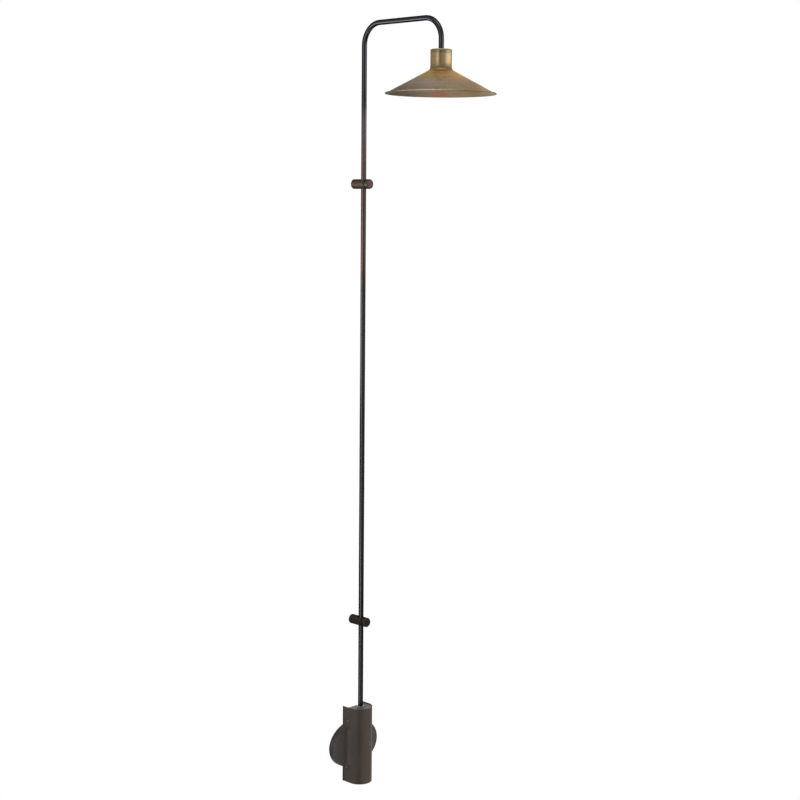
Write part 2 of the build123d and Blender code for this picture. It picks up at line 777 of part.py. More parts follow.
save(shade.part, "shade")

# Lamp joint: a hollow nipple through the shade's top, with a washer and a nut under it
washer_foot = shade_top - shade_sheet - lock_washer_thickness
sink_top = washer_foot - locknut_height
sink_bottom = sink_top - sink_height
with BuildPart() as shade_nipple:
    with BuildSketch(drop_plane.offset(sink_top - nipple_engagement)):
        Circle(nipple_radius - thread_gap)
        Circle(nipple_bore_radius, mode=Mode.SUBTRACT)
    extrude(amount=shade_top - sink_top + 2 * nipple_engagement)
save(shade_nipple.part, "shade_nipple")

with BuildPart() as lock_washer:
    with BuildSketch(drop_plane.offset(washer_foot)):
        Circle(lock_washer_radius)
        Circle(shade_hole, mode=Mode.SUBTRACT)
    extrude(amount=lock_washer_thickness)
save(lock_washer.part, "lock_washer")

with BuildPart() as shade_locknut:
    with BuildSketch(drop_plane.offset(sink_top)):
        RegularPolygon(locknut_flats / 2, 6, major_radius=False)
        Circle(nipple_radius, mode=Mode.SUBTRACT)
    extrude(amount=locknut_height)
save(shade_locknut.part, "shade_locknut")

# Heat sink: a post and a base with radial fins, screwed on the nipple's foot
board_screw_places = [
    (board_screw_circle * math.cos(turn), board_screw_circle * math.sin(turn))
    for turn in (index * math.tau / board_screw_count for index in range(board_screw_count))
]
with BuildPart() as heat_sink:
    with BuildSketch(drop_plane.offset(sink_bottom)):
        Circle(sink_base_radius)
    extrude(amount=sink_base_height)
    with BuildSketch(drop_plane.offset(sink_bottom)):
        Circle(sink_post_radius)
    extrude(amount=sink_height)
    with BuildSketch(drop_plane.offset(sink_bottom + sink_base_height)):
        with PolarLocations(0, sink_fin_count):
            Rectangle(sink_fin_radius, sink_fin_sheet, align=(Align.MIN, Align.CENTER))
    extrude(amount=sink_height - sink_base_height - sink_fin_drop)
    with BuildSketch(drop_plane.offset(sink_top)):
        Circle(nipple_radius)
    extrude(amount=-nipple_engagement, mode=Mode.SUBTRACT)
    with BuildSketch(drop_plane.offset(sink_bottom)):
        Circle(cable_radius + sink_wire_gap)
    extrude(amount=sink_height, mode=Mode.SUBTRACT)
    with BuildSketch(drop_plane.offset(sink_bottom)):
        with Locations(*board_screw_places):
            Circle(small_screw_radius)
    extrude(amount=board_screw_length, mode=Mode.SUBTRACT)
save(heat_sink.part, "heat_sink")

# Light source: a metal-cored board with a ring of chips, screwed under the heat sink
board_bottom = sink_bottom - board_thickness
with BuildPart() as led_board:
    with BuildSketch(drop_plane.offset(board_bottom)):
        Circle(board_radius)
        with Locations(*board_screw_places):
            Circle(small_screw_radius + thread_gap, mode=Mode.SUBTRACT)
    extrude(amount=board_thickness)
save(led_board.part, "led_board")

with BuildPart() as led_chips:
    with BuildSketch(drop_plane.offset(board_bottom)):
        with PolarLocations(chip_circle_radius, chip_count):
            Rectangle(chip_size, chip_size)
    extrude(amount=-chip_thickness)
save(led_chips.part, "led_chips")

board_seat = Plane(origin=(0, -drop_offset, board_bottom), x_dir=(1, 0, 0), z_dir=(0, 0, -1))
board_screws = headed_screws(
    board_seat, [(x, -y) for x, y in board_screw_places],
    small_screw_radius - thread_gap, board_screw_length,
    small_head_radius, small_head_height,
)
save(board_screws, "board_screws")

# Reflector, diffuser and the threaded bezel that holds both to the heat sink
reflector_foot = board_bottom - reflector_height
with BuildPart() as reflector:
    with BuildSketch(Plane.XZ.offset(drop_offset)):
        with BuildLine():
            Polyline(
                (reflector_top_radius, board_bottom),
                (reflector_top_radius + reflector_sheet, board_bottom),
                (reflector_bottom_radius, reflector_foot),
                (reflector_bottom_radius - reflector_sheet, reflector_foot),
                close=True,
            )
        make_face()
    revolve(axis=Axis((0, -drop_offset, 0), (0, 0, 1)))
save(reflector.part, "reflector")

with BuildPart() as diffuser:
    with BuildSketch(drop_plane.offset(reflector_foot - diffuser_thickness)):
        Circle(reflector_bottom_radius)
    extrude(amount=diffuser_thickness)
save(diffuser.part, "diffuser")

bezel_inner = sink_base_radius + thread_gap
bezel_foot = reflector_foot - diffuser_thickness - bezel_lip_thickness
with BuildPart() as lamp_bezel:
    with BuildSketch(drop_plane.offset(bezel_foot)):
        Circle(bezel_inner + bezel_wall)
    extrude(amount=sink_bottom + bezel_thread_length - bezel_foot)
    fillet(lamp_bezel.faces().sort_by(Axis.Z)[0].edges(), bezel_round)
    with BuildSketch(drop_plane.offset(bezel_foot + bezel_lip_thickness)):
        Circle(bezel_inner)
    extrude(amount=sink_bottom + bezel_thread_length - bezel_foot, mode=Mode.SUBTRACT)
    with BuildSketch(drop_plane.offset(bezel_foot)):
        Circle(bezel_lip_radius)
    extrude(amount=bezel_lip_thickness, mode=Mode.SUBTRACT)
save(lamp_bezel.part, "lamp_bezel")

# Lamp cable: from the foot of the stem, round both bends, to the light source
with BuildPart() as lamp_cable:
    with BuildLine():
        FilletPolyline(
            (0, -stem_offset, stem_foot_height),
            (0, -stem_offset, arm_height),
            (0, -drop_offset, arm_height),
            (0, -drop_offset, sink_bottom),
            radius=bend_radius,
        )
    with BuildSketch(stem_plane.offset(stem_foot_height)):
        Circle(cable_radius)
    sweep()
save(lamp_cable.part, "lamp_cable")
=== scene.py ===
# %% [markdown]
# # An LED wall light in dark bronze and antique brass
# The measured model comes first. Every piece of it is already at its real size and place, so
# this lesson gives each one its finish, and models by hand what the measured model leaves plain:
# the screws with their threads and recesses, the nuts, rivets and rods, and the light sources.
# A small studio then goes round the light.

# %% Load the measured model
import json
import math
import bpy
from collections import namedtuple
from mathutils import Matrix, Vector

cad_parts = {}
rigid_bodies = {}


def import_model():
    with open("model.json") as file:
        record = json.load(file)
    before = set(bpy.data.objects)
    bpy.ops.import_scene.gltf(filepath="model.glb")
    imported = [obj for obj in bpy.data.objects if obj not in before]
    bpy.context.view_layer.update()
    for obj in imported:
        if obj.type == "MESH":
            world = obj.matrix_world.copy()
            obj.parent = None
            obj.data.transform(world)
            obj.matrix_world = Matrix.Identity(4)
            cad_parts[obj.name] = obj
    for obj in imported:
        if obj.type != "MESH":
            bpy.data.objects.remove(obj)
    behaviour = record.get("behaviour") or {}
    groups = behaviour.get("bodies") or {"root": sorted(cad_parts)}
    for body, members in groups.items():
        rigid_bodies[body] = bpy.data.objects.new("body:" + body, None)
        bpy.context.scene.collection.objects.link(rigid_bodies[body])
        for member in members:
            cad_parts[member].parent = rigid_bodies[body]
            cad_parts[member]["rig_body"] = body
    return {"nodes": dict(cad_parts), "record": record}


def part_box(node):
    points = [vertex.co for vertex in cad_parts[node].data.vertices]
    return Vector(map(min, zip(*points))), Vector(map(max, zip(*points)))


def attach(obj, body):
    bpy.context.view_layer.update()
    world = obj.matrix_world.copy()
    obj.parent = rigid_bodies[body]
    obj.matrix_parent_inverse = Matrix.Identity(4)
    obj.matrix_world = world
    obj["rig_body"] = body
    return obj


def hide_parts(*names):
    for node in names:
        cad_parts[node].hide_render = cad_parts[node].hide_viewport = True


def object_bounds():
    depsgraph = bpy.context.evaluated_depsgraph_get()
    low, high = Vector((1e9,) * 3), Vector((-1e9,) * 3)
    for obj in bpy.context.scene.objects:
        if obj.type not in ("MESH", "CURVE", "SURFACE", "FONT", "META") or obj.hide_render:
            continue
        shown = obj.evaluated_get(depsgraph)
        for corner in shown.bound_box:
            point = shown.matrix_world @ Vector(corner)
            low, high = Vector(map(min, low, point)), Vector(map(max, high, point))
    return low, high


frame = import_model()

cad_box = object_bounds()
nodes = frame["nodes"]
MM = 0.001
print("the measured light spans", [round(size, 3) for size in cad_box[1] - cad_box[0]])

# %% [markdown]
# ## The camera
# The light is seen from its left and from near the top of its stem, with a long lens. A camera
# could be aimed by a constraint, but a constraint keeps it level. Three turns in a row, round to
# the left, down, and a touch of roll, set it as a hand would.

# %% Camera
CAMERA_PLACE = Vector((-2.5451, -2.6203, 1.3107))
CAMERA_TURN = math.radians(-45.90)
CAMERA_TILT = math.radians(-7.38)
CAMERA_ROLL = math.radians(0.525)
CAMERA_LENS = 70.29
SENSOR_WIDTH = 36.0
CLIP_NEAR = 0.05
CLIP_FAR = 100.0

camera_data = bpy.data.cameras.new("studio_camera")
camera_data.lens = CAMERA_LENS
camera_data.sensor_width = SENSOR_WIDTH
camera_data.clip_start = CLIP_NEAR
camera_data.clip_end = CLIP_FAR
camera = bpy.data.objects.new("studio_camera", camera_data)
bpy.context.scene.collection.objects.link(camera)
camera.matrix_world = (
    Matrix.Translation(CAMERA_PLACE)
    @ Matrix.Rotation(CAMERA_TURN, 4, "Z")
    @ Matrix.Rotation(math.radians(90) + CAMERA_TILT, 4, "X")
    @ Matrix.Rotation(CAMERA_ROLL, 4, "Z")
)
bpy.context.scene.camera = camera
bpy.context.scene.view_settings.view_transform = "Standard"
print("the camera stands", round(CAMERA_PLACE.length, 2), "m from the wall plate")

# %% [markdown]
# ## Nodes from code
# A shader is a small graph of nodes. It could be drawn by hand in the shader editor, but this
# light has some twenty finishes, and code repeats what they share. One function adds a node, sets
# its values and joins its inputs. Another turns the hex values of a colour picker into the linear
# light that a shader works in.


# %% Colours and nodes
def linear(hex_colour):
    """A linear RGBA colour from an sRGB hex value such as 8a7a55."""
    parts = [int(hex_colour[i:i + 2], 16) / 255 for i in (0, 2, 4)]
    lin = [p / 12.92 if p <= 0.04045 else ((p + 0.055) / 1.055) ** 2.4 for p in parts]
    return (*lin, 1.0)


def add(tree, kind, settings=None, inputs=None):
    """Adds a node: settings are its own properties, inputs are values or sockets to join."""
    node = tree.nodes.new(kind)
    for key, value in (settings or {}).items():
        setattr(node, key, value)
    for key, value in (inputs or {}).items():
        if isinstance(value, bpy.types.NodeSocket):
            tree.links.new(value, node.inputs[key])
        else:
            node.inputs[key].default_value = value
    return node


def bare_material(name):
    """A material with an empty graph. Returns the material and its tree."""
    material = bpy.data.materials.new(name)
    material.use_nodes = True
    material.node_tree.nodes.clear()
    return material, material.node_tree


def new_material(name, shader_inputs):
    """A material with a Principled shader. Returns the material, its tree and the shader."""
    material, tree = bare_material(name)
    shader = add(tree, "ShaderNodeBsdfPrincipled", None, shader_inputs)
    add(tree, "ShaderNodeOutputMaterial", None, {"Surface": shader.outputs["BSDF"]})
    return material, tree, shader


print("the middle grey 808080 is", round(linear("808080")[0], 3), "in linear light")

# %% [markdown]
# ## Places and sums
# A finish changes over a piece: a tube is browner high up, a cone greyer at its rim. That could
# be painted on an image, but then every piece would need unwrapping. Here a shader asks where on
# the piece a point lies, does a few sums with that, and looks the colour up on a ramp.


# %% Places, sums and ramps
def object_place(tree):
    """The X, Y and Z of a point, in metres, as three sockets."""
    place = add(tree, "ShaderNodeTexCoord")
    return add(tree, "ShaderNodeSeparateXYZ", None, {"Vector": place.outputs["Object"]}).outputs


def calc(tree, operation, first, second=0.0):
    """One sum on two values."""
    return add(tree, "ShaderNodeMath", {"operation": operation}, {0: first, 1: second}).outputs[0]


def distance(tree, across, along):
    """How far a point is from an axis, from its two places beside it."""
    squares = calc(tree, "ADD", calc(tree, "MULTIPLY", across, across),
                   calc(tree, "MULTIPLY", along, along))
    return calc(tree, "POWER", squares, 0.5)


def span(tree, value, low, high, from_low=0.0, from_high=1.0):
    """Maps a value to the range from low to high."""
    node = add(tree, "ShaderNodeMapRange", None,
               {"Value": value, "From Min": from_low, "From Max": from_high,
                "To Min": low, "To Max": high})
    return node.outputs["Result"]


def ramp(tree, factor, stops):
    """A colour ramp from (place, hex colour) stops."""
    node = add(tree, "ShaderNodeValToRGB", None, {"Fac": factor})
    band = node.color_ramp
    while len(band.elements) < len(stops):
        band.elements.new(0.5)
    for element, (place, colour) in zip(band.elements, stops):
        element.position = place
        element.color = linear(colour)
    return node.outputs["Color"]


def shaded(tree, colour, level):
    """Makes a colour darker or lighter by a level, which is a number or a socket."""
    node = add(tree, "ShaderNodeHueSaturation", None, {"Value": level, "Color": colour})
    return node.outputs["Color"]


print("places are read in metres, so 1 mm is", MM)

# %% [markdown]
# ## Grain in millimetres
# No real finish is even. Noise breaks it up without a picture, and it never repeats. The size of
# each grain is given in millimetres, from what makes it: the spacing of brush lines, the skin of
# a powder coat, the spangle of zinc. Nearly all of a noise pattern lies between 0.3 and 0.7, so
# that range is spread over the drift that a finish is given.

# %% Noise
NOISE_LOW = 0.3
NOISE_HIGH = 0.7


def grain(tree, size_mm, stretch=(1, 1, 1), detail=3.0, roughness=0.55, shift=(0, 0, 0)):
    """Noise whose grain is size_mm across, stretched along the axes, on the piece's own place."""
    place = add(tree, "ShaderNodeTexCoord")
    scale = [1 / (size_mm * MM * s) for s in stretch]
    mapping = add(tree, "ShaderNodeMapping", None,
                  {"Vector": place.outputs["Object"], "Scale": scale, "Location": shift})
    noise = add(tree, "ShaderNodeTexNoise", None,
                {"Vector": mapping.outputs["Vector"], "Scale": 1.0, "Detail": detail,
                 "Roughness": roughness})
    return noise.outputs["Fac"]


def drifted(tree, noise, low, high):
    """Spreads noise over the range from low to high."""
    return span(tree, noise, low, high, NOISE_LOW, NOISE_HIGH)


def toned(tree, colour, noise, drift):
    """Drifts a colour by a share to the dark and to the light side."""
    return shaded(tree, colour, drifted(tree, noise, 1 - drift, 1 + drift))


def bump(tree, height, distance_mm, strength=1.0):
    """Turns a height into a surface normal."""
    node = add(tree, "ShaderNodeBump", None,
               {"Height": height, "Distance": distance_mm * MM, "Strength": strength})
    return node.outputs["Normal"]


print("noise is read from", NOISE_LOW, "to", NOISE_HIGH)

# %% [markdown]
# ## Waxed dark bronze
# The brackets and tubes are steel, blacked and waxed. The eye reads that by a brown black colour
# that drifts a little from olive to plum, by a soft sheen, and by edges that go dark instead of
# white. A bare metal shader with a dark edge tint gives it better than a paint would. The brush
# lines of the real finish are 0.1 mm apart. They are drawn at 0.6 mm, as coarse as shows from a
# step away. The tubes are rubbed smoother than the brackets, so they get more gloss and less
# drift.

# %% Waxed dark bronze
WAX_CLOUD_SIZE = 34
WAX_MOTTLE_SIZE = 4.5
BRUSH_LINE_SIZE = 0.6
BRUSH_LINE_HEIGHT = 0.008
MOTTLE_DRIFT = 0.03


def dark_bronze(name, colour_of, roughness, edge, brush_stretch=(1, 1, 14), drift=0.12,
                brush_depth=0.2, gloss_drift=0.03):
    """Waxed dark bronze: colour_of gives its base colour from the tree."""
    material, tree, shader = new_material(
        name, {"Metallic": 1.0, "Specular Tint": linear(edge)})
    cloud = grain(tree, WAX_CLOUD_SIZE, (1, 1, 2.0), 2.0)
    mottle = grain(tree, WAX_MOTTLE_SIZE, (1, 1, 1.6), 3.0, 0.6, (3, 7, 1))
    brush = grain(tree, BRUSH_LINE_SIZE, brush_stretch, 2.0, 0.5, (5, 1, 9))
    colour = toned(tree, toned(tree, colour_of(tree), cloud, drift), mottle, MOTTLE_DRIFT)
    tree.links.new(colour, shader.inputs["Base Color"])
    gloss = calc(tree, "ADD", drifted(tree, mottle, -gloss_drift, gloss_drift),
                 drifted(tree, brush, roughness - gloss_drift, roughness + gloss_drift))
    tree.links.new(gloss, shader.inputs["Roughness"])
    tree.links.new(bump(tree, brush, BRUSH_LINE_HEIGHT, brush_depth), shader.inputs["Normal"])
    return material


def even(dark, light, size_mm=60):
    """A colour that drifts between two tones over size_mm."""
    return lambda tree: ramp(tree, grain(tree, size_mm, (1, 1, 2.5), 1.0, 0.5),
                             [(0.38, dark), (0.62, light)])


def across(stops, axis, low_mm, high_mm):
    """A colour that changes along one axis between two places in mm."""
    return lambda tree: ramp(
        tree, span(tree, object_place(tree)[axis], 0, 1, low_mm * MM, high_mm * MM), stops)


print("brush lines are drawn at", BRUSH_LINE_SIZE, "mm")

# %% [markdown]
# ## Tones of the tubes and brackets
# Along its height the tube goes from a neutral black to a warm brown round the upper bracket,
# and back to black above it. The lower bracket is nearly black, the upper one brown. One even
# colour would be simpler, but it would miss that change. A ramp along the height has it, from the
# foot of the lower tube to the top of the arm.

# %% Tubes and brackets
STEM_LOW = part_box("stem_tube")[0].z / MM
STEM_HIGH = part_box("hook_tube")[1].z / MM
STEM_TONES = [
    (0.0, "343231"), (0.2, "353332"), (0.45, "333231"), (0.60, "363534"), (0.635, "383332"),
    (0.65, "3f3432"), (0.67, "4a3e3a"), (0.78, "4b403c"), (0.865, "4e4446"), (0.89, "343335"),
    (1.0, "323133")]
STEM_EDGE = "5a5756"
BRACKET_LOW = 300
BRACKET_HIGH = 1340
BARREL_TONES = [(0.0, "312e2a"), (1.0, "4b3f39")]
KNOB_TONES = [(0.0, "383532"), (1.0, "4a413c")]
BRACKET_EDGE = "6a5f59"
ALONG_STEM = (1, 1, 30)
ALONG_BARREL = (1, 14, 1)

bracket_bronze = dark_bronze(
    "waxed_dark_bronze_brackets", across(BARREL_TONES, "Z", BRACKET_LOW, BRACKET_HIGH),
    roughness=0.6, edge=BRACKET_EDGE, brush_stretch=ALONG_BARREL)
knob_bronze = dark_bronze(
    "waxed_dark_bronze_knobs", across(KNOB_TONES, "Z", BRACKET_LOW, BRACKET_HIGH),
    roughness=0.5, edge=BRACKET_EDGE, brush_stretch=ALONG_BARREL)
stem_bronze = dark_bronze(
    "rubbed_dark_bronze_tube", across(STEM_TONES, "Z", STEM_LOW, STEM_HIGH),
    roughness=0.22, edge=STEM_EDGE, brush_stretch=ALONG_STEM, drift=0.03, brush_depth=0.02,
    gloss_drift=0.006)
print("the tube's tones run from", round(STEM_LOW), "to", round(STEM_HIGH), "mm")

# %% [markdown]
# ## Powder coat
# The wall plate and the housing are powder coated to go with the bronze. A powder coat is a
# plastic skin: it spreads the light, has no metal reflections, and keeps a fine orange peel of
# about 1.5 mm from the powder that ran together in the oven. So it is a matt shader without
# metal, and the peel is a low bump.

# %% Powder coat
POWDER_CLOUD_SIZE = 30
PEEL_SIZE = 1.5
PEEL_HEIGHT = 0.02
POWDER_CLOUD_DRIFT = 0.07
PEEL_DRIFT = 0.02
PEEL_GLOSS_DRIFT = 0.04
HEIGHT_BORDER = 8
DEPTH_BORDER = 12


def powder_bronze(name, colour_of, roughness):
    """Powder coat in dark bronze: colour_of gives its base colour from the tree."""
    material, tree, shader = new_material(
        name, {"Metallic": 0.0, "IOR": 1.5, "Specular IOR Level": 0.1})
    cloud = grain(tree, POWDER_CLOUD_SIZE, (1, 1, 2.5), 2.0)
    peel = grain(tree, PEEL_SIZE, (1, 1, 1), 2.0, 0.5, (5, 1, 9))
    colour = toned(tree, toned(tree, colour_of(tree), cloud, POWDER_CLOUD_DRIFT), peel, PEEL_DRIFT)
    tree.links.new(colour, shader.inputs["Base Color"])
    gloss = drifted(tree, peel, roughness - PEEL_GLOSS_DRIFT, roughness + PEEL_GLOSS_DRIFT)
    tree.links.new(gloss, shader.inputs["Roughness"])
    tree.links.new(bump(tree, peel, PEEL_HEIGHT, 0.3), shader.inputs["Normal"])
    return material


def shade_towards_wall(colour_of, front_mm, back_mm, share):
    """Paints shade: darkens a colour to a share of itself between two depths, towards the wall."""
    def colour(tree):
        depth = object_place(tree)["Y"]
        level = span(tree, depth, 1.0, share, front_mm * MM, back_mm * MM)
        return shaded(tree, colour_of(tree), level)
    return colour


def light_beside_plate(colour_of, half_height_mm, depth_mm, gain):
    """Paints light: lightens a colour by a gain level with the wall plate and behind a depth, where
    the plate shades the housing's sides.
    """
    def colour(tree):
        x, y, z = object_place(tree)[0:3]
        level_with = span(tree, calc(tree, "ABSOLUTE", z), 1.0, 0.0,
                          (half_height_mm - HEIGHT_BORDER) * MM, half_height_mm * MM)
        behind = span(tree, y, 0.0, 1.0, (depth_mm - DEPTH_BORDER) * MM, depth_mm * MM)
        near = calc(tree, "MULTIPLY", level_with, behind)
        return shaded(tree, colour_of(tree), span(tree, near, 1.0, gain))
    return colour


print("the orange peel is", PEEL_SIZE, "mm wide")

# %% [markdown]
# ## Tones of the plate and the housing
# Both coats look darker close to the wall and lighter next to each other. That is light and
# shade, painted in the coats. Another lamp could give some of it, but it would light the tube too,
# so the coats carry it: a ramp from left to right that holds each coat's colour and painted
# shading, dark bands of painted shade towards the wall, and a lighter patch of painted light on
# the housing's sides, level with the plate.

# %% Plate and housing
HOUSING_HALF_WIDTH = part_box("housing_shell")[1].x / MM
# The housing's colour, with painted shading across its round front from left to right.
HOUSING_TONES_AND_SHADING = [(0.0, "443e3a"), (0.06, "3b3531"), (0.15, "39322e"), (0.28, "463d36"),
                 (0.45, "4b4139"), (0.7, "463d37"), (1.0, "463e39")]
# Painted shade: the housing goes darker along its back edge, against the wall.
HOUSING_WALL_SHADE = (-7.0, -3.0, 0.35)
# Painted light: a lighter patch on the housing's sides, level with the plate, that cancels the
# plate's shade there.
HOUSING_LIGHT_PATCH = (48, -26, 1.6)
PLATE_HALF_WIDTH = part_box("canopy")[1].x / MM
# The plate's colour, with painted light beside the housing and painted shade towards its ends.
PLATE_TONES_AND_LIGHT = [(0.0, "46403e"), (0.13, "413b39"), (0.18, "433d3a"), (0.28, "57504c"),
               (0.84, "504946"), (0.945, "544c49"), (0.99, "47413e")]
# Painted shade: the plate's rim side goes darker behind its front face, and its foot against the
# wall.
PLATE_RIM_SHADE = (-14.5, -13.0, 0.72)
PLATE_FOOT_SHADE = (-4.5, -2.5, 0.6)
COAT_ROUGHNESS = 0.46

housing_tones_and_shading = across(HOUSING_TONES_AND_SHADING, "X", -HOUSING_HALF_WIDTH, HOUSING_HALF_WIDTH)
housing_bronze = powder_bronze(
    "powder_coated_dark_bronze",
    light_beside_plate(shade_towards_wall(housing_tones_and_shading, *HOUSING_WALL_SHADE), *HOUSING_LIGHT_PATCH), COAT_ROUGHNESS)
plate_tones_and_light = across(PLATE_TONES_AND_LIGHT, "X", -PLATE_HALF_WIDTH, PLATE_HALF_WIDTH)
plate_bronze = powder_bronze(
    "powder_coated_dark_bronze_plate", shade_towards_wall(shade_towards_wall(plate_tones_and_light, *PLATE_RIM_SHADE), *PLATE_FOOT_SHADE),
    COAT_ROUGHNESS)
print("the plate is", round(2 * PLATE_HALF_WIDTH), "mm wide, the housing",
      round(2 * HOUSING_HALF_WIDTH))

# %% [markdown]
# ## Antique brass
# The shade is spun from brass sheet, darkened in a bath and rubbed back while it turned. The rub
# leaves upright streaks on the neck, a golden ring under it, and a cone that greys towards the
# rim with faint lighter rings where the spinning tool paused. All of that turns with the shade's
# axis, so the places that count are the distance from the axis and the height. Light and shade
# are painted on as well, from the shade's left to its right, so one fixed direction across it
# counts too.

# %% Places on the shade
SHADE_LOW, SHADE_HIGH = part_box("shade")
SHADE_AXIS = (SHADE_LOW + SHADE_HIGH) / 2
LAMP_AXIS_Y = SHADE_AXIS.y / MM
NECK_RADIUS = 23.5
RIM_RADIUS = SHADE_HIGH.x / MM
# The fixed direction across the shade along which light and shade are painted onto the brass.
RIGHTWARD_FOR_PAINTED_LIGHT = (0.68, -0.73)


def shade_places(tree):
    """Distance from the axis and Z in metres, share of the height, and share of the way right, along
    which light and shade are painted.
    """
    x, y, z = object_place(tree)[0:3]
    from_axis = calc(tree, "SUBTRACT", y, SHADE_AXIS.y)
    radius = distance(tree, x, from_axis)
    height = span(tree, z, 0, 1, SHADE_LOW.z, SHADE_HIGH.z)
    sideways = calc(tree, "ADD", calc(tree, "MULTIPLY", x, RIGHTWARD_FOR_PAINTED_LIGHT[0]),
                    calc(tree, "MULTIPLY", from_axis, RIGHTWARD_FOR_PAINTED_LIGHT[1]))
    to_right = span(tree, sideways, 0, 1, -RIM_RADIUS * MM, RIM_RADIUS * MM)
    return radius, z, height, to_right


print("the shade is", round(2 * RIM_RADIUS), "mm wide and",
      round((SHADE_HIGH.z - SHADE_LOW.z) / MM), "mm high")

# %% [markdown]
# ## Patina of the neck and the cone
# The bath darkened the folds and the rub took it back on the open faces. Two ramps from the neck
# to the rim carry that on the cone, and one ramp from the foot to the top carries it on the neck.
# The cone's two ramps also hold painted light: a grey one for its left and a golden one for its
# right. One noise could not be told where to be gold, so the ramps are listed stop by stop. Last,
# painted shade from left to right darkens the cone's left.

# %% Patina
# Painted light: the cone's left takes the grey ramp and its right the golden one. In both, the dark
# first stop is painted shade in the crease under the neck, and the last stops paint the rim line, a
# highlight on the left and shade on the right.
GREY_CONE_TONES = [
    (0.0, "66563a"), (0.08, "9c7a40"), (0.24, "a48352"), (0.40, "978465"), (0.60, "968a80"),
    (0.80, "8f7f6d"), (0.955, "83776b"), (0.975, "b8ae9b")]
GOLD_CONE_TONES = [
    (0.0, "66563a"), (0.08, "c09a5e"), (0.25, "c29c6c"), (0.42, "b2956e"), (0.60, "9b8268"),
    (0.80, "9f8462"), (0.955, "958670"), (0.975, "7d705a")]
# The neck's darker foot is painted shade in the crease above the cone, and its pale top edge is a
# painted highlight.
NECK_TONES = [
    (0.50, "66563a"), (0.575, "5c5138"), (0.64, "6a5b40"), (0.70, "7f6a4c"), (0.86, "826d50"),
    (0.93, "6a5c43"), (0.975, "655a45"), (1.0, "a39680")]
# Painted shade: the cone darker at its left than at its right, lifted by a gain.
SIDE_SHADE_TONES = [
    (0.0, "4c4c4c"), (0.14, "747474"), (0.28, "a0a0a0"), (0.44, "bcbcbc"), (0.6, "b6b6b6"),
    (0.8, "a6a6a6"), (0.95, "c4c4c4")]
SIDE_SHADE_GAIN = 1.9
GREY_TO_GOLD_SHARES = (0.35, 0.75)
NECK_BORDER_SHARES = (0.555, 0.60)
SIDE_SHADE_BORDER_SHARES = (0.50, 0.60)


def mixed_colour(tree, factor, first, second, mode="MIX"):
    """Mixes two colour sockets or values."""
    node = add(tree, "ShaderNodeMix", {"data_type": "RGBA", "blend_type": mode},
               {0: factor, 6: first, 7: second})
    return node.outputs[2]


def patina(tree, radius, height, to_right):
    """The colour of the bath and the rub, from the neck to the rim, with painted light from left to
    right on the cone.
    """
    outward = span(tree, radius, 0, 1, NECK_RADIUS * MM, RIM_RADIUS * MM)
    grey_cone = ramp(tree, outward, GREY_CONE_TONES)
    gold_cone = ramp(tree, outward, GOLD_CONE_TONES)
    to_gold = span(tree, to_right, 0, 1, *GREY_TO_GOLD_SHARES)
    cone = mixed_colour(tree, to_gold, grey_cone, gold_cone)
    on_neck = span(tree, height, 0, 1, *NECK_BORDER_SHARES)
    return mixed_colour(tree, on_neck, cone, ramp(tree, height, NECK_TONES))


def painted_side_shade(tree, colour, height, to_right):
    """Paints shade: darkens the cone's colour at its left, and leaves the neck."""
    side_shaded = mixed_colour(tree, 1.0, colour, ramp(tree, to_right, SIDE_SHADE_TONES), "MULTIPLY")
    on_cone = span(tree, height, 1.0, 0.0, *SIDE_SHADE_BORDER_SHARES)
    return mixed_colour(tree, on_cone, colour, shaded(tree, side_shaded, SIDE_SHADE_GAIN))


print("the cone has", len(GREY_CONE_TONES), "tones from the neck to the rim")

# %% [markdown]
# ## The inside of the shade
# The inside is rubbed back less. It gets painted shade at its left, and one warm, coppery patch
# near the rim that is a painted reflection. The shade is one spinning, so its inside isn't a piece
# of its own. A shader can still find it by the normals, which point down there.

# %% Inside
# Painted reflection: a warm, coppery patch on the inside near the rim.
WARM_REFLECTION_PLACE = (75 * MM, SHADE_AXIS.y + 76 * MM, SHADE_LOW.z + 7.5 * MM)
WARM_REFLECTION_NEAR = 10
WARM_REFLECTION_FAR = 34
WARM_REFLECTION_TONE = "96684c"
WARM_REFLECTION_STRENGTH = 0.8
INSIDE_NORMALS = (-0.5, -0.2)
# Painted shade: the inside goes darker at its left.
INSIDE_SHADE_LEVELS = (0.80, 1.04)
PLAIN_SHARE = 0.15


def with_inside(tree, outside, plain, to_right):
    """Joins the outside's colour with the inside's, which gets painted shade and a painted
    reflection. Plain is the patina before the painted side shade.
    """
    normal = add(tree, "ShaderNodeNewGeometry").outputs["Normal"]
    upward = add(tree, "ShaderNodeSeparateXYZ", None, {"Vector": normal}).outputs["Z"]
    inside = span(tree, upward, 1.0, 0.0, *INSIDE_NORMALS)
    inside_shaded = shaded(tree, outside, span(tree, to_right, *INSIDE_SHADE_LEVELS))
    both = mixed_colour(tree, inside, outside, mixed_colour(tree, PLAIN_SHARE, inside_shaded, plain))
    place = add(tree, "ShaderNodeTexCoord").outputs["Object"]
    from_painted_reflection = add(tree, "ShaderNodeVectorMath", {"operation": "DISTANCE"},
                     {0: place, 1: WARM_REFLECTION_PLACE}).outputs["Value"]
    painted_reflection = span(tree, from_painted_reflection, WARM_REFLECTION_STRENGTH, 0.0, WARM_REFLECTION_NEAR * MM, WARM_REFLECTION_FAR * MM)
    return mixed_colour(tree, calc(tree, "MULTIPLY", painted_reflection, inside), both, linear(WARM_REFLECTION_TONE))


print("the bloom reaches", WARM_REFLECTION_FAR, "mm from its middle")

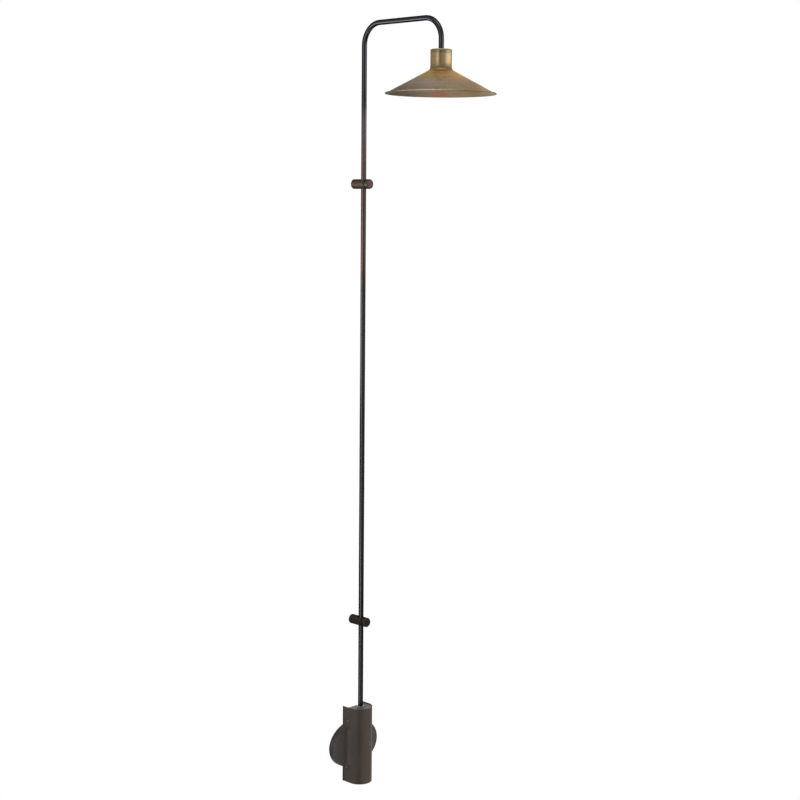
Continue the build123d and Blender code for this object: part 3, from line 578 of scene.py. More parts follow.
# %% [markdown]
# ## Spun brass
# The rings are noise that only knows the distance from the axis and the height, so it runs round
# the shade. The tool's own lines are 0.3 mm apart and are drawn at 1.1 mm, as coarse as shows.
# The streaks are noise stretched along the neck. The sheen of spun metal is drawn out across its
# lines, which a round tangent and some anisotropy give.

# %% Spun brass
RING_SIZE = 9
TOOL_LINE_SIZE = 1.1
TOOL_LINE_HEIGHT = 0.02
BRASS_CLOUD_SIZE = 26
STREAK_SIZE = 6
BRASS_CLOUD_DRIFT = 0.08
RING_DRIFT = 0.11
STREAK_DRIFT = 0.10
RING_GLOSS_DRIFT = 0.04
CONE_ROUGHNESS = 0.50
NECK_ROUGHNESS = 0.30
GLOSS_BORDER_SHARES = (0.60, 0.68)


def spun_noise(tree, radius, z, size_mm, detail):
    """Noise that runs in rings about the shade's axis."""
    place = add(tree, "ShaderNodeCombineXYZ", None, {"X": radius, "Y": z, "Z": 0.0})
    return add(tree, "ShaderNodeTexNoise", None,
               {"Vector": place.outputs["Vector"], "Scale": 1 / (size_mm * MM),
                "Detail": detail, "Roughness": 0.6}).outputs["Fac"]


def antique_brass():
    """Spun brass with a bath patina that changes from the neck to the rim, and painted light and
    shade from left to right.
    """
    material, tree, shader = new_material(
        "antique_brass_spun",
        {"Metallic": 0.85, "Specular Tint": linear("e0d4c0"), "Anisotropic": 0.4})
    radius, z, height, to_right = shade_places(tree)
    rings = spun_noise(tree, radius, z, RING_SIZE, 3.0)
    lines = spun_noise(tree, radius, z, TOOL_LINE_SIZE, 2.0)
    cloud = grain(tree, BRASS_CLOUD_SIZE, (1, 1, 0.6), 2.0)
    streaks = grain(tree, STREAK_SIZE, (1, 1, 30), 2.0, 0.5, (2, 5, 0))
    clouded = toned(tree, patina(tree, radius, height, to_right), cloud, BRASS_CLOUD_DRIFT)
    streaked = toned(tree, toned(tree, clouded, rings, RING_DRIFT), streaks, STREAK_DRIFT)
    outside = painted_side_shade(tree, streaked, height, to_right)
    tree.links.new(with_inside(tree, outside, streaked, to_right), shader.inputs["Base Color"])
    gloss = calc(tree, "ADD", drifted(tree, rings, -RING_GLOSS_DRIFT, RING_GLOSS_DRIFT),
                 span(tree, height, CONE_ROUGHNESS, NECK_ROUGHNESS, *GLOSS_BORDER_SHARES))
    tree.links.new(gloss, shader.inputs["Roughness"])
    tangent = add(tree, "ShaderNodeTangent", {"direction_type": "RADIAL", "axis": "Z"})
    tree.links.new(tangent.outputs["Tangent"], shader.inputs["Tangent"])
    tree.links.new(bump(tree, lines, TOOL_LINE_HEIGHT, 0.35), shader.inputs["Normal"])
    return material


brass = antique_brass()
print("the brass is built from", len(brass.node_tree.nodes), "nodes")

# %% [markdown]
# ## Plated and blasted metals
# The pieces that the housing and the shade hide have plain workshop finishes. Zinc plate shows a
# spangle of about 6 mm, nickel is warmer and smoother, a blasted surface breaks up what it
# mirrors by a grain of a few tenths of a millimetre, and a metallised plastic hardly does. One
# recipe serves them all: two tones in a broad cloud, and a fine grain in the gloss.

# %% Plated and blasted metals
METAL_CLOUD_GRAINS = 12
METAL_GRAIN_HEIGHT = 0.02
METAL_GLOSS_DRIFT = 0.06


def plated(name, light, dark, roughness, size_mm):
    """Plated or blasted metal: a mottled colour with a grain of size_mm in its gloss."""
    material, tree, shader = new_material(name, {"Metallic": 1.0})
    cloud = grain(tree, size_mm * METAL_CLOUD_GRAINS)
    fine = grain(tree, size_mm, (1, 1, 1), 3.0, 0.6, (2, 4, 8))
    tree.links.new(ramp(tree, cloud, [(0.35, dark), (0.65, light)]), shader.inputs["Base Color"])
    gloss = span(tree, fine, roughness - METAL_GLOSS_DRIFT, roughness + METAL_GLOSS_DRIFT)
    tree.links.new(gloss, shader.inputs["Roughness"])
    tree.links.new(bump(tree, fine, METAL_GRAIN_HEIGHT, 0.3), shader.inputs["Normal"])
    return material


print("a cloud on plated metal is", METAL_CLOUD_GRAINS, "grains wide")

# %% [markdown]
# ## Moulded plastics and rubber
# A moulded case copies the spark-eroded skin of its mould, a grain of a few tenths of a
# millimetre, and is the same colour all through. Nylon, silicone and opal acrylic also let some
# light in under the skin, which softens their shadows. Subsurface weight gives that, where
# transparency would show what lies behind.

# %% Moulded plastics and rubber
PLASTIC_CLOUD_GRAINS = 30
PLASTIC_GRAIN_HEIGHT = 0.02
PLASTIC_GLOSS_DRIFT = 0.05
LIGHT_DEPTH = 2


def moulded(name, light, dark, roughness, ior=1.5, size_mm=0.4, subsurface=0.0):
    """Moulded plastic or rubber: an even colour with a spark-eroded grain of size_mm."""
    material, tree, shader = new_material(
        name, {"Metallic": 0.0, "IOR": ior, "Subsurface Weight": subsurface,
               "Subsurface Scale": LIGHT_DEPTH * MM})
    cloud = grain(tree, size_mm * PLASTIC_CLOUD_GRAINS, (1, 1, 1), 2.0)
    fine = grain(tree, size_mm, (1, 1, 1), 2.0, 0.6, (4, 2, 6))
    tree.links.new(ramp(tree, cloud, [(0.3, dark), (0.7, light)]), shader.inputs["Base Color"])
    gloss = span(tree, fine, roughness - PLASTIC_GLOSS_DRIFT, roughness + PLASTIC_GLOSS_DRIFT)
    tree.links.new(gloss, shader.inputs["Roughness"])
    tree.links.new(bump(tree, fine, PLASTIC_GRAIN_HEIGHT, 0.4), shader.inputs["Normal"])
    return material


print("light goes", LIGHT_DEPTH, "mm into nylon, silicone and acrylic")

# %% [markdown]
# ## A finish for every piece
# The measured model names a slot for each piece, such as stem_bronze. Every slot gets a finish
# here. A few pieces get one of their own within their slot: the wall plate has its own tones and
# painted light, the knobs are a little glossier than the barrels, the side screws are a lighter
# bronze whose tone is a painted glint, and the bush round the tube is nickel.

# %% Finishes
finishes = {
    "housing_bronze": housing_bronze,
    "plate_bronze": plate_bronze,
    "bracket_bronze": bracket_bronze,
    "knob_bronze": knob_bronze,
    "stem_bronze": stem_bronze,
    "antique_brass": brass,
    "trim_bronze": dark_bronze("waxed_dark_bronze_trim", even("332e2a", "3f3832"), 0.3, "4a4643"),
    # Grey steel in a matt coat, whose light tone also stands in for what the top plate reflects from
    # above: a painted reflection.
    "burnished_steel": powder_bronze("grey_steel_and_painted_reflection", even("65605b", "7d7872", 20), 0.4),
    "black_screws": dark_bronze("black_oxide_screws", even("34312e", "45413d", 5), 0.3, "5a5653"),
    # Painted highlight: the side screws' lighter tone stands in for the glint on their heads.
    "glint_screws": dark_bronze("bronze_screws_painted_glint", even("77716c", "86807a", 5), 0.35, "8a8580"),
    "satin_nickel": plated("satin_nickel_bush", "a8a49f", "8f8b86", 0.32, 0.5),
    "zinc_steel": plated("zinc_plated_steel", "b9bab6", "9fa19f", 0.36, 0.5),
    "screw_steel": plated("nickel_plated_screws", "c2c0bb", "adaba7", 0.24, 0.3),
    "cast_aluminium": plated("blasted_aluminium", "c6c8ca", "b2b4b6", 0.45, 0.25),
    "reflector_metal": plated("metallised_reflector", "dcdcda", "d0d0ce", 0.16, 0.3),
    "natural_nylon": moulded("natural_nylon", "e0dbca", "d6d0bc", 0.45, 1.53, 0.4, 0.1),
    "driver_case": moulded("polycarbonate_case", "dededa", "d4d4d0", 0.5, 1.58),
    "terminal_white": moulded("white_nylon_terminals", "e4e4df", "dadad4", 0.35, 1.53),
    "black_rubber": moulded("black_rubber", "1c1c1c", "141414", 0.7, 1.52, 0.6),
    "board_white": moulded("white_solder_mask", "e6e6e2", "dcdcd8", 0.3, 1.55, 0.3),
    "led_phosphor": moulded("silicone_phosphor", "efc64e", "e8b93a", 0.35, 1.41, 0.2, 0.2),
    "opal_plastic": moulded("opal_acrylic", "f1efe9", "ebe8e0", 0.3, 1.49, 0.4, 0.5),
    "lead_jacket": moulded("pvc_lead_jacket", "262626", "1d1d1d", 0.5, 1.54),
    "cable_jacket": moulded("pvc_cable_jacket", "222222", "191919", 0.5, 1.54),
}

slot_of = {row["node"]: row["material_slot"] for row in frame["record"]["subparts"]}
finish_of = dict(slot_of)
finish_of["canopy"] = "plate_bronze"
finish_of["stem_bushing"] = "satin_nickel"
finish_of["side_screws"] = "glint_screws"
finish_of["upper_knob"] = finish_of["lower_knob"] = "knob_bronze"
for node_name, node in nodes.items():
    node.data.materials.clear()
    node.data.materials.append(finishes[finish_of[node_name]])
print("finished", len(nodes), "measured pieces with", len(finishes), "materials")

# %% [markdown]
# ## Turned parts
# Small hardware is what makes a light look real when it is opened, and most of it is turned. A
# profile could be spun about an axis, but here a disc is pushed up and scaled ring by ring, as a
# lathe tool would follow the profile. That needs no second object, and closes both ends by
# itself.

# %% Turned parts
SIDES = 40
HEX_SIDES = 6
FINE_SIDES = 60
MERGE_DISTANCE = 0.001


def only(piece):
    """Selects one piece and makes it active."""
    bpy.ops.object.select_all(action="DESELECT")
    piece.select_set(True)
    bpy.context.view_layer.objects.active = piece


def turned(name, rings, sides=SIDES, closed=True):
    """A turned part from (radius, height) rings in mm. A part that isn't closed is a hollow."""
    bpy.ops.object.select_all(action="DESELECT")
    radius, height = rings[0]
    bpy.ops.mesh.primitive_circle_add(vertices=sides, radius=radius * MM,
                                      fill_type="TRIFAN" if closed else "NOTHING")
    piece = bpy.context.object
    piece.name = name
    bpy.ops.object.mode_set(mode="EDIT")
    bpy.ops.mesh.select_mode(type="VERT")
    bpy.ops.mesh.select_all(action="SELECT")
    bpy.ops.transform.translate(value=(0, 0, height * MM))
    for next_radius, next_height in rings[1:]:
        bpy.ops.mesh.extrude_region_move(
            TRANSFORM_OT_translate={"value": (0, 0, (next_height - height) * MM)})
        scale = next_radius / radius
        bpy.ops.transform.resize(value=(scale, scale, 1), center_override=(0, 0, 0))
        radius, height = next_radius, next_height
    bpy.ops.mesh.select_all(action="SELECT")
    bpy.ops.mesh.remove_doubles(threshold=MERGE_DISTANCE * MM)
    bpy.ops.mesh.normals_make_consistent(inside=False)
    bpy.ops.object.mode_set(mode="OBJECT")
    return piece


print("a turned part has", SIDES, "sides")

# %% [markdown]
# ## Blocks
# Recesses, slots, washer teeth and light sources start as a cube. Its lower face is picked by its
# normal and scaled, which tapers the block as a punch is tapered.


# %% Blocks
def pick_faces(piece, wanted):
    """Selects the faces for which wanted is true, and nothing else, and stays in edit mode."""
    bpy.ops.object.mode_set(mode="EDIT")
    bpy.ops.mesh.select_mode(type="FACE")
    bpy.ops.mesh.select_all(action="DESELECT")
    bpy.ops.object.mode_set(mode="OBJECT")
    for face in piece.data.polygons:
        face.select = wanted(face)
    bpy.ops.object.mode_set(mode="EDIT")


def looks_down(face):
    """True for a face that points down."""
    return face.normal.z < -0.5


def block(name, width, depth, height, foot_share=1.0):
    """A block in mm about the origin whose lower face is scaled by foot_share."""
    bpy.ops.object.select_all(action="DESELECT")
    bpy.ops.mesh.primitive_cube_add(size=MM)
    piece = bpy.context.object
    piece.name = name
    bpy.ops.object.mode_set(mode="EDIT")
    bpy.ops.mesh.select_all(action="SELECT")
    bpy.ops.transform.resize(value=(width, depth, height), center_override=(0, 0, 0))
    pick_faces(piece, looks_down)
    bpy.ops.transform.resize(value=(foot_share, foot_share, 1), center_override=(0, 0, 0))
    bpy.ops.object.mode_set(mode="OBJECT")
    return piece


# %% [markdown]
# ## Placing, copying, joining and cutting
# A piece is modelled at the origin, where the sums are easy, and then put in its seat. Its move
# is applied to its mesh at once, so that its pattern stays with it. What repeats is modelled once
# and copied. A cut is a boolean modifier that is applied, as a milling cutter would leave it.

# %% Placing, copying, joining and cutting
UP = (0, 0, 1)
DOWN = (0, 0, -1)
OUT = (0, -1, 0)
IN = (0, 1, 0)

print("the wall is behind, so out of it is", OUT)


def put(piece, place, towards=UP, turn=0.0):
    """Stands a piece with its Z axis towards a direction at a place in mm, and applies that."""
    piece.matrix_world = (Matrix.Translation(Vector(place) * MM)
                          @ Vector(towards).to_track_quat("Z", "Y").to_matrix().to_4x4()
                          @ Matrix.Rotation(turn, 4, "Z"))
    only(piece)
    bpy.ops.object.transform_apply(location=True, rotation=True, scale=True)
    return piece


def joined(name, parts):
    """Joins parts into one piece."""
    only(parts[0])
    for part in parts[1:]:
        part.select_set(True)
    bpy.ops.object.join()
    parts[0].name = name
    parts[0].data.name = name
    return parts[0]


def placed_copies(name, model, seats):
    """Copies a model, each copy with its own mesh, to seats of a place and a direction."""
    parts = []
    for place, towards in seats:
        twin = model.copy()
        twin.data = model.data.copy()
        bpy.context.scene.collection.objects.link(twin)
        parts.append(put(twin, place, towards))
    bpy.data.objects.remove(model, do_unlink=True)
    return joined(name, parts)


def combine(piece, tool, operation="DIFFERENCE"):
    """Cuts a tool out of a piece, or keeps what both share, and removes the tool."""
    modifier = piece.modifiers.new("combine", "BOOLEAN")
    modifier.operation = operation
    modifier.object = tool
    modifier.solver = "EXACT"
    only(piece)
    bpy.ops.object.modifier_apply(modifier=modifier.name)
    bpy.data.objects.remove(tool, do_unlink=True)
    return piece


# %% [markdown]
# ## Threads
# A screw's thread is a ridge that climbs round its core. A picture of rings would not climb, so
# the ridge is real: a small triangle stands beside the axis, and the Screw modifier winds it up
# by one pitch a turn. The triangle is turned round where its tip would point inwards.

# %% Threads
CORE_SHARE = 0.84
THREAD_STEPS = 24


def thread(radius, core, low, high, pitch):
    """A screw thread's ridge in mm, from low to high, round a core."""
    bpy.ops.object.select_all(action="DESELECT")
    crest = radius - core
    bpy.ops.mesh.primitive_circle_add(vertices=3, radius=crest * MM, fill_type="NOTHING")
    piece = bpy.context.object
    bpy.ops.object.mode_set(mode="EDIT")
    bpy.ops.mesh.select_mode(type="VERT")
    bpy.ops.mesh.select_all(action="SELECT")
    bpy.ops.transform.rotate(value=math.radians(90), orient_axis="Z", center_override=(0, 0, 0))
    bpy.ops.transform.rotate(value=math.radians(90), orient_axis="X", center_override=(0, 0, 0))
    bpy.ops.transform.translate(value=(core * MM, 0, low * MM))
    bpy.ops.object.mode_set(mode="OBJECT")
    if max(abs(vertex.co.x) for vertex in piece.data.vertices) < (radius - 0.1 * crest) * MM:
        bpy.ops.object.mode_set(mode="EDIT")
        bpy.ops.transform.rotate(value=math.radians(180), orient_axis="Z",
                                 center_override=(core * MM, 0, 0))
        bpy.ops.object.mode_set(mode="OBJECT")
    winding = piece.modifiers.new("winding", "SCREW")
    winding.axis = "Z"
    winding.screw_offset = pitch * MM
    winding.iterations = max(1, int((high - low) / pitch))
    winding.steps = THREAD_STEPS
    winding.render_steps = THREAD_STEPS
    only(piece)
    bpy.ops.object.modifier_apply(modifier=winding.name)
    bpy.ops.object.mode_set(mode="EDIT")
    bpy.ops.mesh.select_all(action="SELECT")
    bpy.ops.mesh.normals_make_consistent(inside=False)
    bpy.ops.object.mode_set(mode="OBJECT")
    return piece


print("a thread's core is", CORE_SHARE, "of its radius")

# %% [markdown]
# ## Standing for a measured piece
# A finished piece takes the place of the plain measured one. It gets that one's finish, rides on
# the same moving body, and the measured one is then not shown. Its curved faces are smoothed and
# its edges stay sharp, by the angle between the faces.

# %% Standing for a measured piece
SMOOTH_ANGLE = 35
FLAT_SIDES_ANGLE = 25


def seated(piece, node, finish, smooth_angle=SMOOTH_ANGLE):
    """Smooths a piece and gives it a finish, and the body that carries a node."""
    only(piece)
    bpy.ops.object.shade_smooth_by_angle(angle=math.radians(smooth_angle))
    if not piece.data.materials:
        piece.data.materials.append(finish)
    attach(piece, nodes[node]["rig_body"])
    print("modelled", piece.name, "with", len(piece.data.polygons), "faces")


def stands_for(piece, node, smooth_angle=SMOOTH_ANGLE):
    """Seats a piece as its node is seated, and lets it stand for the node."""
    seated(piece, node, finishes[finish_of[node]], smooth_angle)
    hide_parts(node)


# %% [markdown]
# ## Pan head screws
# A pan head screw is one turned profile from its tip to the crown of its head. A cross recess is
# cut by two tapered bars, and a thread goes round the core. The heads could be a picture on a
# disc, but the recess catches the light and so it is cut. One screw is modelled for each size.

# %% A pan head screw
TIP_SHARE = 0.7
TIP_LENGTH_SHARE = 0.3
HEAD_SHARES = [(0.93, 0.0), (1.0, 0.12), (1.0, 0.42), (0.94, 0.72), (0.78, 0.92), (0.5, 1.0)]
RECESS_LENGTH_SHARE = 1.25
RECESS_WIDTH_SHARE = 0.3
RECESS_HEIGHT_SHARE = 1.3
RECESS_LIFT_SHARE = 1.15
RECESS_FOOT_SHARE = 0.55
THREAD_END_SHARE = -0.2

# The radius of the shank, the radius and height of the head, and the pitch, in mm.
ScrewSize = namedtuple("ScrewSize", "shank head head_height pitch")
SMALL_SCREW = ScrewSize(1.45, 2.8, 1.6, 0.5)
LARGE_SCREW = ScrewSize(1.95, 3.7, 2.4, 0.8)


def pan_screw(name, size, length):
    """A pan head screw in mm with its seat at the origin and its head up."""
    core = size.shank * CORE_SHARE
    tip = -length + TIP_LENGTH_SHARE * size.shank
    crown = [(out * size.head, up * size.head_height) for out, up in HEAD_SHARES]
    body = turned(name, [(TIP_SHARE * core, -length), (core, tip), (core, 0)] + crown)
    for turn in (0, math.pi / 2):
        bar = block("bar", RECESS_LENGTH_SHARE * size.head, RECESS_WIDTH_SHARE * size.head,
                    RECESS_HEIGHT_SHARE * size.head_height, RECESS_FOOT_SHARE)
        combine(body, put(bar, (0, 0, RECESS_LIFT_SHARE * size.head_height), turn=turn))
    ridge = thread(size.shank, core, tip, THREAD_END_SHARE * size.pitch, size.pitch)
    return joined(name, [body, ridge])


def pan_screws(node, size, length, seats):
    """Copies of one screw in the seats of a node's screws."""
    model = pan_screw("screw_model", size, length)
    stands_for(placed_copies("pan_head_" + node, model, seats), node)


print("a small screw's head is", 2 * SMALL_SCREW.head, "mm wide")

# %% [markdown]
# ## Seats from the measured model
# The measured model says where the screws are: the box round a set of them ends at the outer
# edges of their heads. So a seat lies one head's radius in from each corner, and one head's
# height behind the front. The screws' length is what is left to the back of the box.


# %% Seats
def box_in_mm(node):
    """The low and high corners of a node's box in mm."""
    return [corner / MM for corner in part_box(node)]


def room_seats(node, head, head_height):
    """The seats, to a tenth of a mm, of screws that face the room, and how deep they reach."""
    low, high = box_in_mm(node)
    columns = sorted({round(low.x + head, 1), round(high.x - head, 1)})
    rows = sorted({round(low.z + head, 1), round(high.z - head, 1)}, reverse=True)
    seat = round(low.y + head_height, 1)
    return [((x, seat, z), OUT) for x in columns for z in rows], round(high.y - seat, 1)


print("the mounting screws stand at", room_seats("mounting_screws", *LARGE_SCREW[1:3])[0])

# %% [markdown]
# ## Screws in their seats
# Most screws face the room. The side screws face left and right out of the housing's walls, and
# the three board screws stand in a circle in the lamp and face down.

# %% Screws in their seats
SIDE_SCREW_LENGTH = 2.8
BOARD_SCREW_COUNT = 3

low, high = box_in_mm("side_screws")
wall = high.x - SMALL_SCREW.head_height
middle = ((low.y + high.y) / 2, low.z + SMALL_SCREW.head)
side_seats = [((side * wall, *middle), (side, 0, 0)) for side in (-1, 1)]
pan_screws("side_screws", SMALL_SCREW, SIDE_SCREW_LENGTH, side_seats)

for node, size in (("ground_screw", SMALL_SCREW), ("mounting_screws", LARGE_SCREW),
                   ("driver_screws", SMALL_SCREW), ("shelf_screws", SMALL_SCREW)):
    seats, length = room_seats(node, size.head, size.head_height)
    pan_screws(node, size, length, seats)

low, high = box_in_mm("board_screws")
circle = round(high.x - SMALL_SCREW.head, 1)
board_face = round(low.z + SMALL_SCREW.head_height, 1)
board_seats = []
for number in range(BOARD_SCREW_COUNT):
    turn = number * math.tau / BOARD_SCREW_COUNT
    place = (circle * math.cos(turn), LAMP_AXIS_Y + circle * math.sin(turn), board_face)
    board_seats.append((place, DOWN))
pan_screws("board_screws", SMALL_SCREW, round(high.z - board_face, 1), board_seats)

# %% [markdown]
# ## Blind rivets
# Four blind rivets hold the end plates to the chassis. A rivet has a low dome with a hollow where
# its pin broke off. A sphere cut flat would have no such hollow, so it is turned like the screws.

# %% Blind rivets
RIVET_HEAD = 2.9
RIVET_HEAD_HEIGHT = 1.1
RIVET_PROFILE = [
    (1.1, -2.7), (1.45, -2.6), (1.6, -2.2), (1.6, 0), (2.8, 0), (RIVET_HEAD, 0.15), (2.75, 0.5),
    (2.3, 0.85), (1.6, 1.05), (1.0, RIVET_HEAD_HEIGHT), (0.85, 1.05), (0.75, 0.5)]

seats, length = room_seats("plate_rivets", RIVET_HEAD, RIVET_HEAD_HEIGHT)
rivet = turned("rivet_model", RIVET_PROFILE)
stands_for(placed_copies("blind_plate_rivets", rivet, seats), "plate_rivets")
print("their tails are", length, "mm long")

# %% [markdown]
# ## Set screws
# A set screw has no head: its thread runs all along, its ends are chamfered, and a hexagon
# recess is cut in the end that the key meets. Three of them hold the collar and the brackets'
# barrels. Each ends level with its measured piece at the recess.

# %% Set screws
SET_SCREW_RADIUS = 1.95
SET_SCREW_PITCH = 0.7
SET_SCREW_CHAMFER = 0.35
SET_SCREW_TIP_SHARE = 0.55
SET_SCREW_LIP = 0.3
THREAD_START = 0.45
KEY_RADIUS = 0.95
KEY_DEPTH = 2.0
KEY_TIP_SHARE = 0.9
KEY_LEAD = 0.2
KEY_OVERRUN = 1.0


def set_screw(name, length):
    """A socket set screw in mm, from the origin up, with its recess in the top."""
    core = SET_SCREW_RADIUS * CORE_SHARE
    end = length - SET_SCREW_CHAMFER
    body = turned(name, [(SET_SCREW_TIP_SHARE * core, 0), (core, SET_SCREW_CHAMFER), (core, end),
                         (core - SET_SCREW_LIP, length)])
    key = turned("key", [(KEY_TIP_SHARE * KEY_RADIUS, length - KEY_DEPTH),
                         (KEY_RADIUS, length - KEY_DEPTH + KEY_LEAD),
                         (KEY_RADIUS, length + KEY_OVERRUN)], HEX_SIDES)
    combine(body, key)
    ridge = thread(SET_SCREW_RADIUS, core, THREAD_START, end, SET_SCREW_PITCH)
    return joined(name, [body, ridge])


def foot_of(node, towards, length):
    """Where a piece of a length has its foot, if it ends level with a node's box, in mm."""
    low, high = box_in_mm(node)
    middle, half = (low + high) / 2, (high - low) / 2
    return [round(middle[axis] + towards[axis] * (half[axis] - length), 1) for axis in range(3)]


for node, length, towards in (("collar_screw", 4.5, IN), ("upper_pinch_screw", 4.0, DOWN),
                              ("lower_pinch_screw", 4.0, DOWN)):
    piece = set_screw("socket_" + node, length)
    stands_for(put(piece, foot_of(node, towards, length), towards), node)

# %% [markdown]
# ## The stop pin
# A dowel pin in the collar stops the swing. It is ground smooth, and its ends are rounded so that
# it slides into its bore. The round ends are turned with it, so they need no bevel.

# %% Stop pin
PIN_RADIUS = 1.4
PIN_LENGTH = 11.4
PIN_ENDS = [(0.4, 0), (0.15, 0.15), (0, 0.5)]

foot = [(PIN_RADIUS - inward, rise) for inward, rise in PIN_ENDS]
top = [(radius, PIN_LENGTH - rise) for radius, rise in reversed(foot)]
pin = turned("dowel_stop_pin", foot + top)
stands_for(put(pin, foot_of("stop_pin", OUT, PIN_LENGTH), OUT), "stop_pin")

# %% [markdown]
# ## Threaded rods
# A hollow threaded rod lets the cable through: one joins the two tubes, one carries the shade.
# Its bore and its outside are one closed ring of points, so its wall is a true wall, and its
# thread is rolled on from end to end.

# %% Threaded rods
ROD_BORE = 3.5
ROD_RADIUS = 4.95
ROD_PITCH = 1.0
ROD_THREAD_DEPTH = 0.3
ROD_CHAMFER = 0.5
ROD_TAPER = 0.4
BORE_CHAMFER = 0.3
BORE_FLARE = 0.2


def threaded_rod(node):
    """A hollow threaded rod that fills the height of a node's box."""
    low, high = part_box(node)
    length = (high.z - low.z) / MM
    core = ROD_RADIUS - ROD_THREAD_DEPTH
    tip, mouth, end = core - ROD_TAPER, ROD_BORE + BORE_FLARE, length - ROD_CHAMFER
    body = turned("rod", [(mouth, 0), (tip, 0), (core, ROD_CHAMFER), (core, end), (tip, length),
                          (mouth, length), (ROD_BORE, length - BORE_CHAMFER),
                          (ROD_BORE, BORE_CHAMFER), (mouth, 0)], closed=False)
    ridge = thread(ROD_RADIUS, core, ROD_CHAMFER, end, ROD_PITCH)
    piece = joined("rolled_" + node, [body, ridge])
    stands_for(put(piece, (0, (low.y + high.y) / 2 / MM, low.z / MM)), node)


for node in ("shade_nipple", "stem_coupler"):
    threaded_rod(node)

# %% [markdown]
# ## Nuts
# A nut is a six-sided prism whose corners have curved chamfers. A bevel would leave them
# straight. A turned double cone that trims the prism gives them, as the lathe does on the real
# nut.

# %% Nuts
NUT_CHAMFER = 0.6
TRIM_FACE_SHARE = 0.97
TRIM_WAIST_SHARE = 1.01
TRIM_LEAN_SHARE = 0.6
TRIM_SIDES = 64
HOLE_SIDES = 48


def hex_nut(node, bore):
    """A chamfered nut that fills the box of a node, its corners along X."""
    low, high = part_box(node)
    corner = (high.x - low.x) / 2 / MM
    height = (high.z - low.z) / MM
    flat = corner * math.cos(math.radians(30))
    piece = turned("hexagon_" + node, [(corner, 0), (corner, height)], HEX_SIDES)
    lean = (corner - flat) * TRIM_LEAN_SHARE
    face, waist = flat * TRIM_FACE_SHARE, corner * TRIM_WAIST_SHARE
    trim = turned("trim", [(face, 0), (waist, lean), (waist, height - lean), (face, height)],
                  TRIM_SIDES)
    combine(piece, trim, "INTERSECT")
    mouth = bore + 2 * NUT_CHAMFER
    hole = turned("hole", [(mouth, -NUT_CHAMFER), (bore, NUT_CHAMFER),
                           (bore, height - NUT_CHAMFER), (mouth, height + NUT_CHAMFER)],
                  HOLE_SIDES)
    combine(piece, hole)
    along_x = max(vertex.co.x for vertex in piece.data.vertices) > flat * 1.05 * MM
    turn = 0 if along_x else math.radians(30)
    place = (0, (low.y + high.y) / 2 / MM, low.z / MM)
    stands_for(put(piece, place, turn=turn), node, FLAT_SIDES_ANGLE)


hex_nut("bushing_nut", 7.9)
hex_nut("shade_locknut", 5.0)

# %% [markdown]
# ## The toothed washer
# The washer under the shade's nut bites with twelve twisted teeth. The ring is turned, and one
# block for each tooth is twisted, moved out to the ring and turned to its place.

# %% Toothed washer
WASHER_TEETH = 12
WASHER_RING = [(6.7, 0.2), (8.8, 0.2), (9.0, 0.35), (9.0, 0.85), (8.8, 1.0), (6.7, 1.0), (6.7, 0.2)]
TOOTH_BLOCK = (0.5, 1.5, 1.9, 0.8)
TOOTH_TWIST = math.radians(65)
TOOTH_CIRCLE = 6.05
TOOTH_HEIGHT = 0.6

teeth = []
ring = turned("toothed_lock_washer", WASHER_RING, FINE_SIDES, closed=False)
for number in range(WASHER_TEETH):
    tooth = block("tooth", *TOOTH_BLOCK)
    put(tooth, (0, 0, 0), (1, 0, 0), TOOTH_TWIST)
    put(tooth, (TOOTH_CIRCLE, 0, TOOTH_HEIGHT))
    teeth.append(put(tooth, (0, 0, 0), turn=number * math.tau / WASHER_TEETH))
washer = joined("toothed_lock_washer", [ring] + teeth)
washer_low = box_in_mm("lock_washer")[0].z
stands_for(put(washer, (0, LAMP_AXIS_Y, washer_low)), "lock_washer", FLAT_SIDES_ANGLE)

# %% [markdown]
# ## LED packages
# Each light source is a white ceramic cup filled with yellow phosphor. The cup is a block whose
# lower face is inset and pushed in, and the inset face takes the phosphor. Two blocks, one in the
# other, would leave no rim.

# %% LED packages
CHIP_COUNT = 8
CHIP_WIDTH = 3.0
CHIP_HEIGHT = 0.7
CUP_WALL = 0.35
CUP_DEPTH = 0.15
CUP_FOOT_SHARE = 0.9

chip = block("chip_model", CHIP_WIDTH, CHIP_WIDTH, CHIP_HEIGHT)
chip.data.materials.append(finishes["board_white"])
chip.data.materials.append(finishes["led_phosphor"])
pick_faces(chip, looks_down)
bpy.ops.mesh.inset(thickness=CUP_WALL * MM, depth=0)
bpy.ops.mesh.extrude_region_move(TRANSFORM_OT_translate={"value": (0, 0, CUP_DEPTH * MM)})
bpy.ops.transform.resize(value=(CUP_FOOT_SHARE, CUP_FOOT_SHARE, 1), center_override=(0, 0, 0))
chip.active_material_index = 1
bpy.ops.object.material_slot_assign()
bpy.ops.object.mode_set(mode="OBJECT")

low, high = box_in_mm("led_chips")
chip_circle = round(high.x - CHIP_WIDTH / 2, 1)
chip_seats = []
for number in range(CHIP_COUNT):
    turn = number * math.tau / CHIP_COUNT
    place = (chip_circle * math.cos(turn), LAMP_AXIS_Y + chip_circle * math.sin(turn),
             high.z - CHIP_HEIGHT / 2)
    chip_seats.append((place, UP))
chips = placed_copies("ceramic_led_packages", chip, chip_seats)
stands_for(chips, "led_chips", FLAT_SIDES_ANGLE)

# %% [markdown]
# ## Terminal screws
# The terminal block has a well over each pole, with a slotted clamp screw at its foot. The
# measured model has the wells but no screws, so these stand for no measured piece and ride on
# the block's body.

# %% Terminal screws
WELL_DEPTH = 6.0
POLE_SPACING = 9.3
CLAMP_SCREW_PROFILE = [(1.9, 0.05), (1.9, 1.1), (1.7, 1.3)]
CLAMP_SLOT = (5.0, 0.5, 1.4)

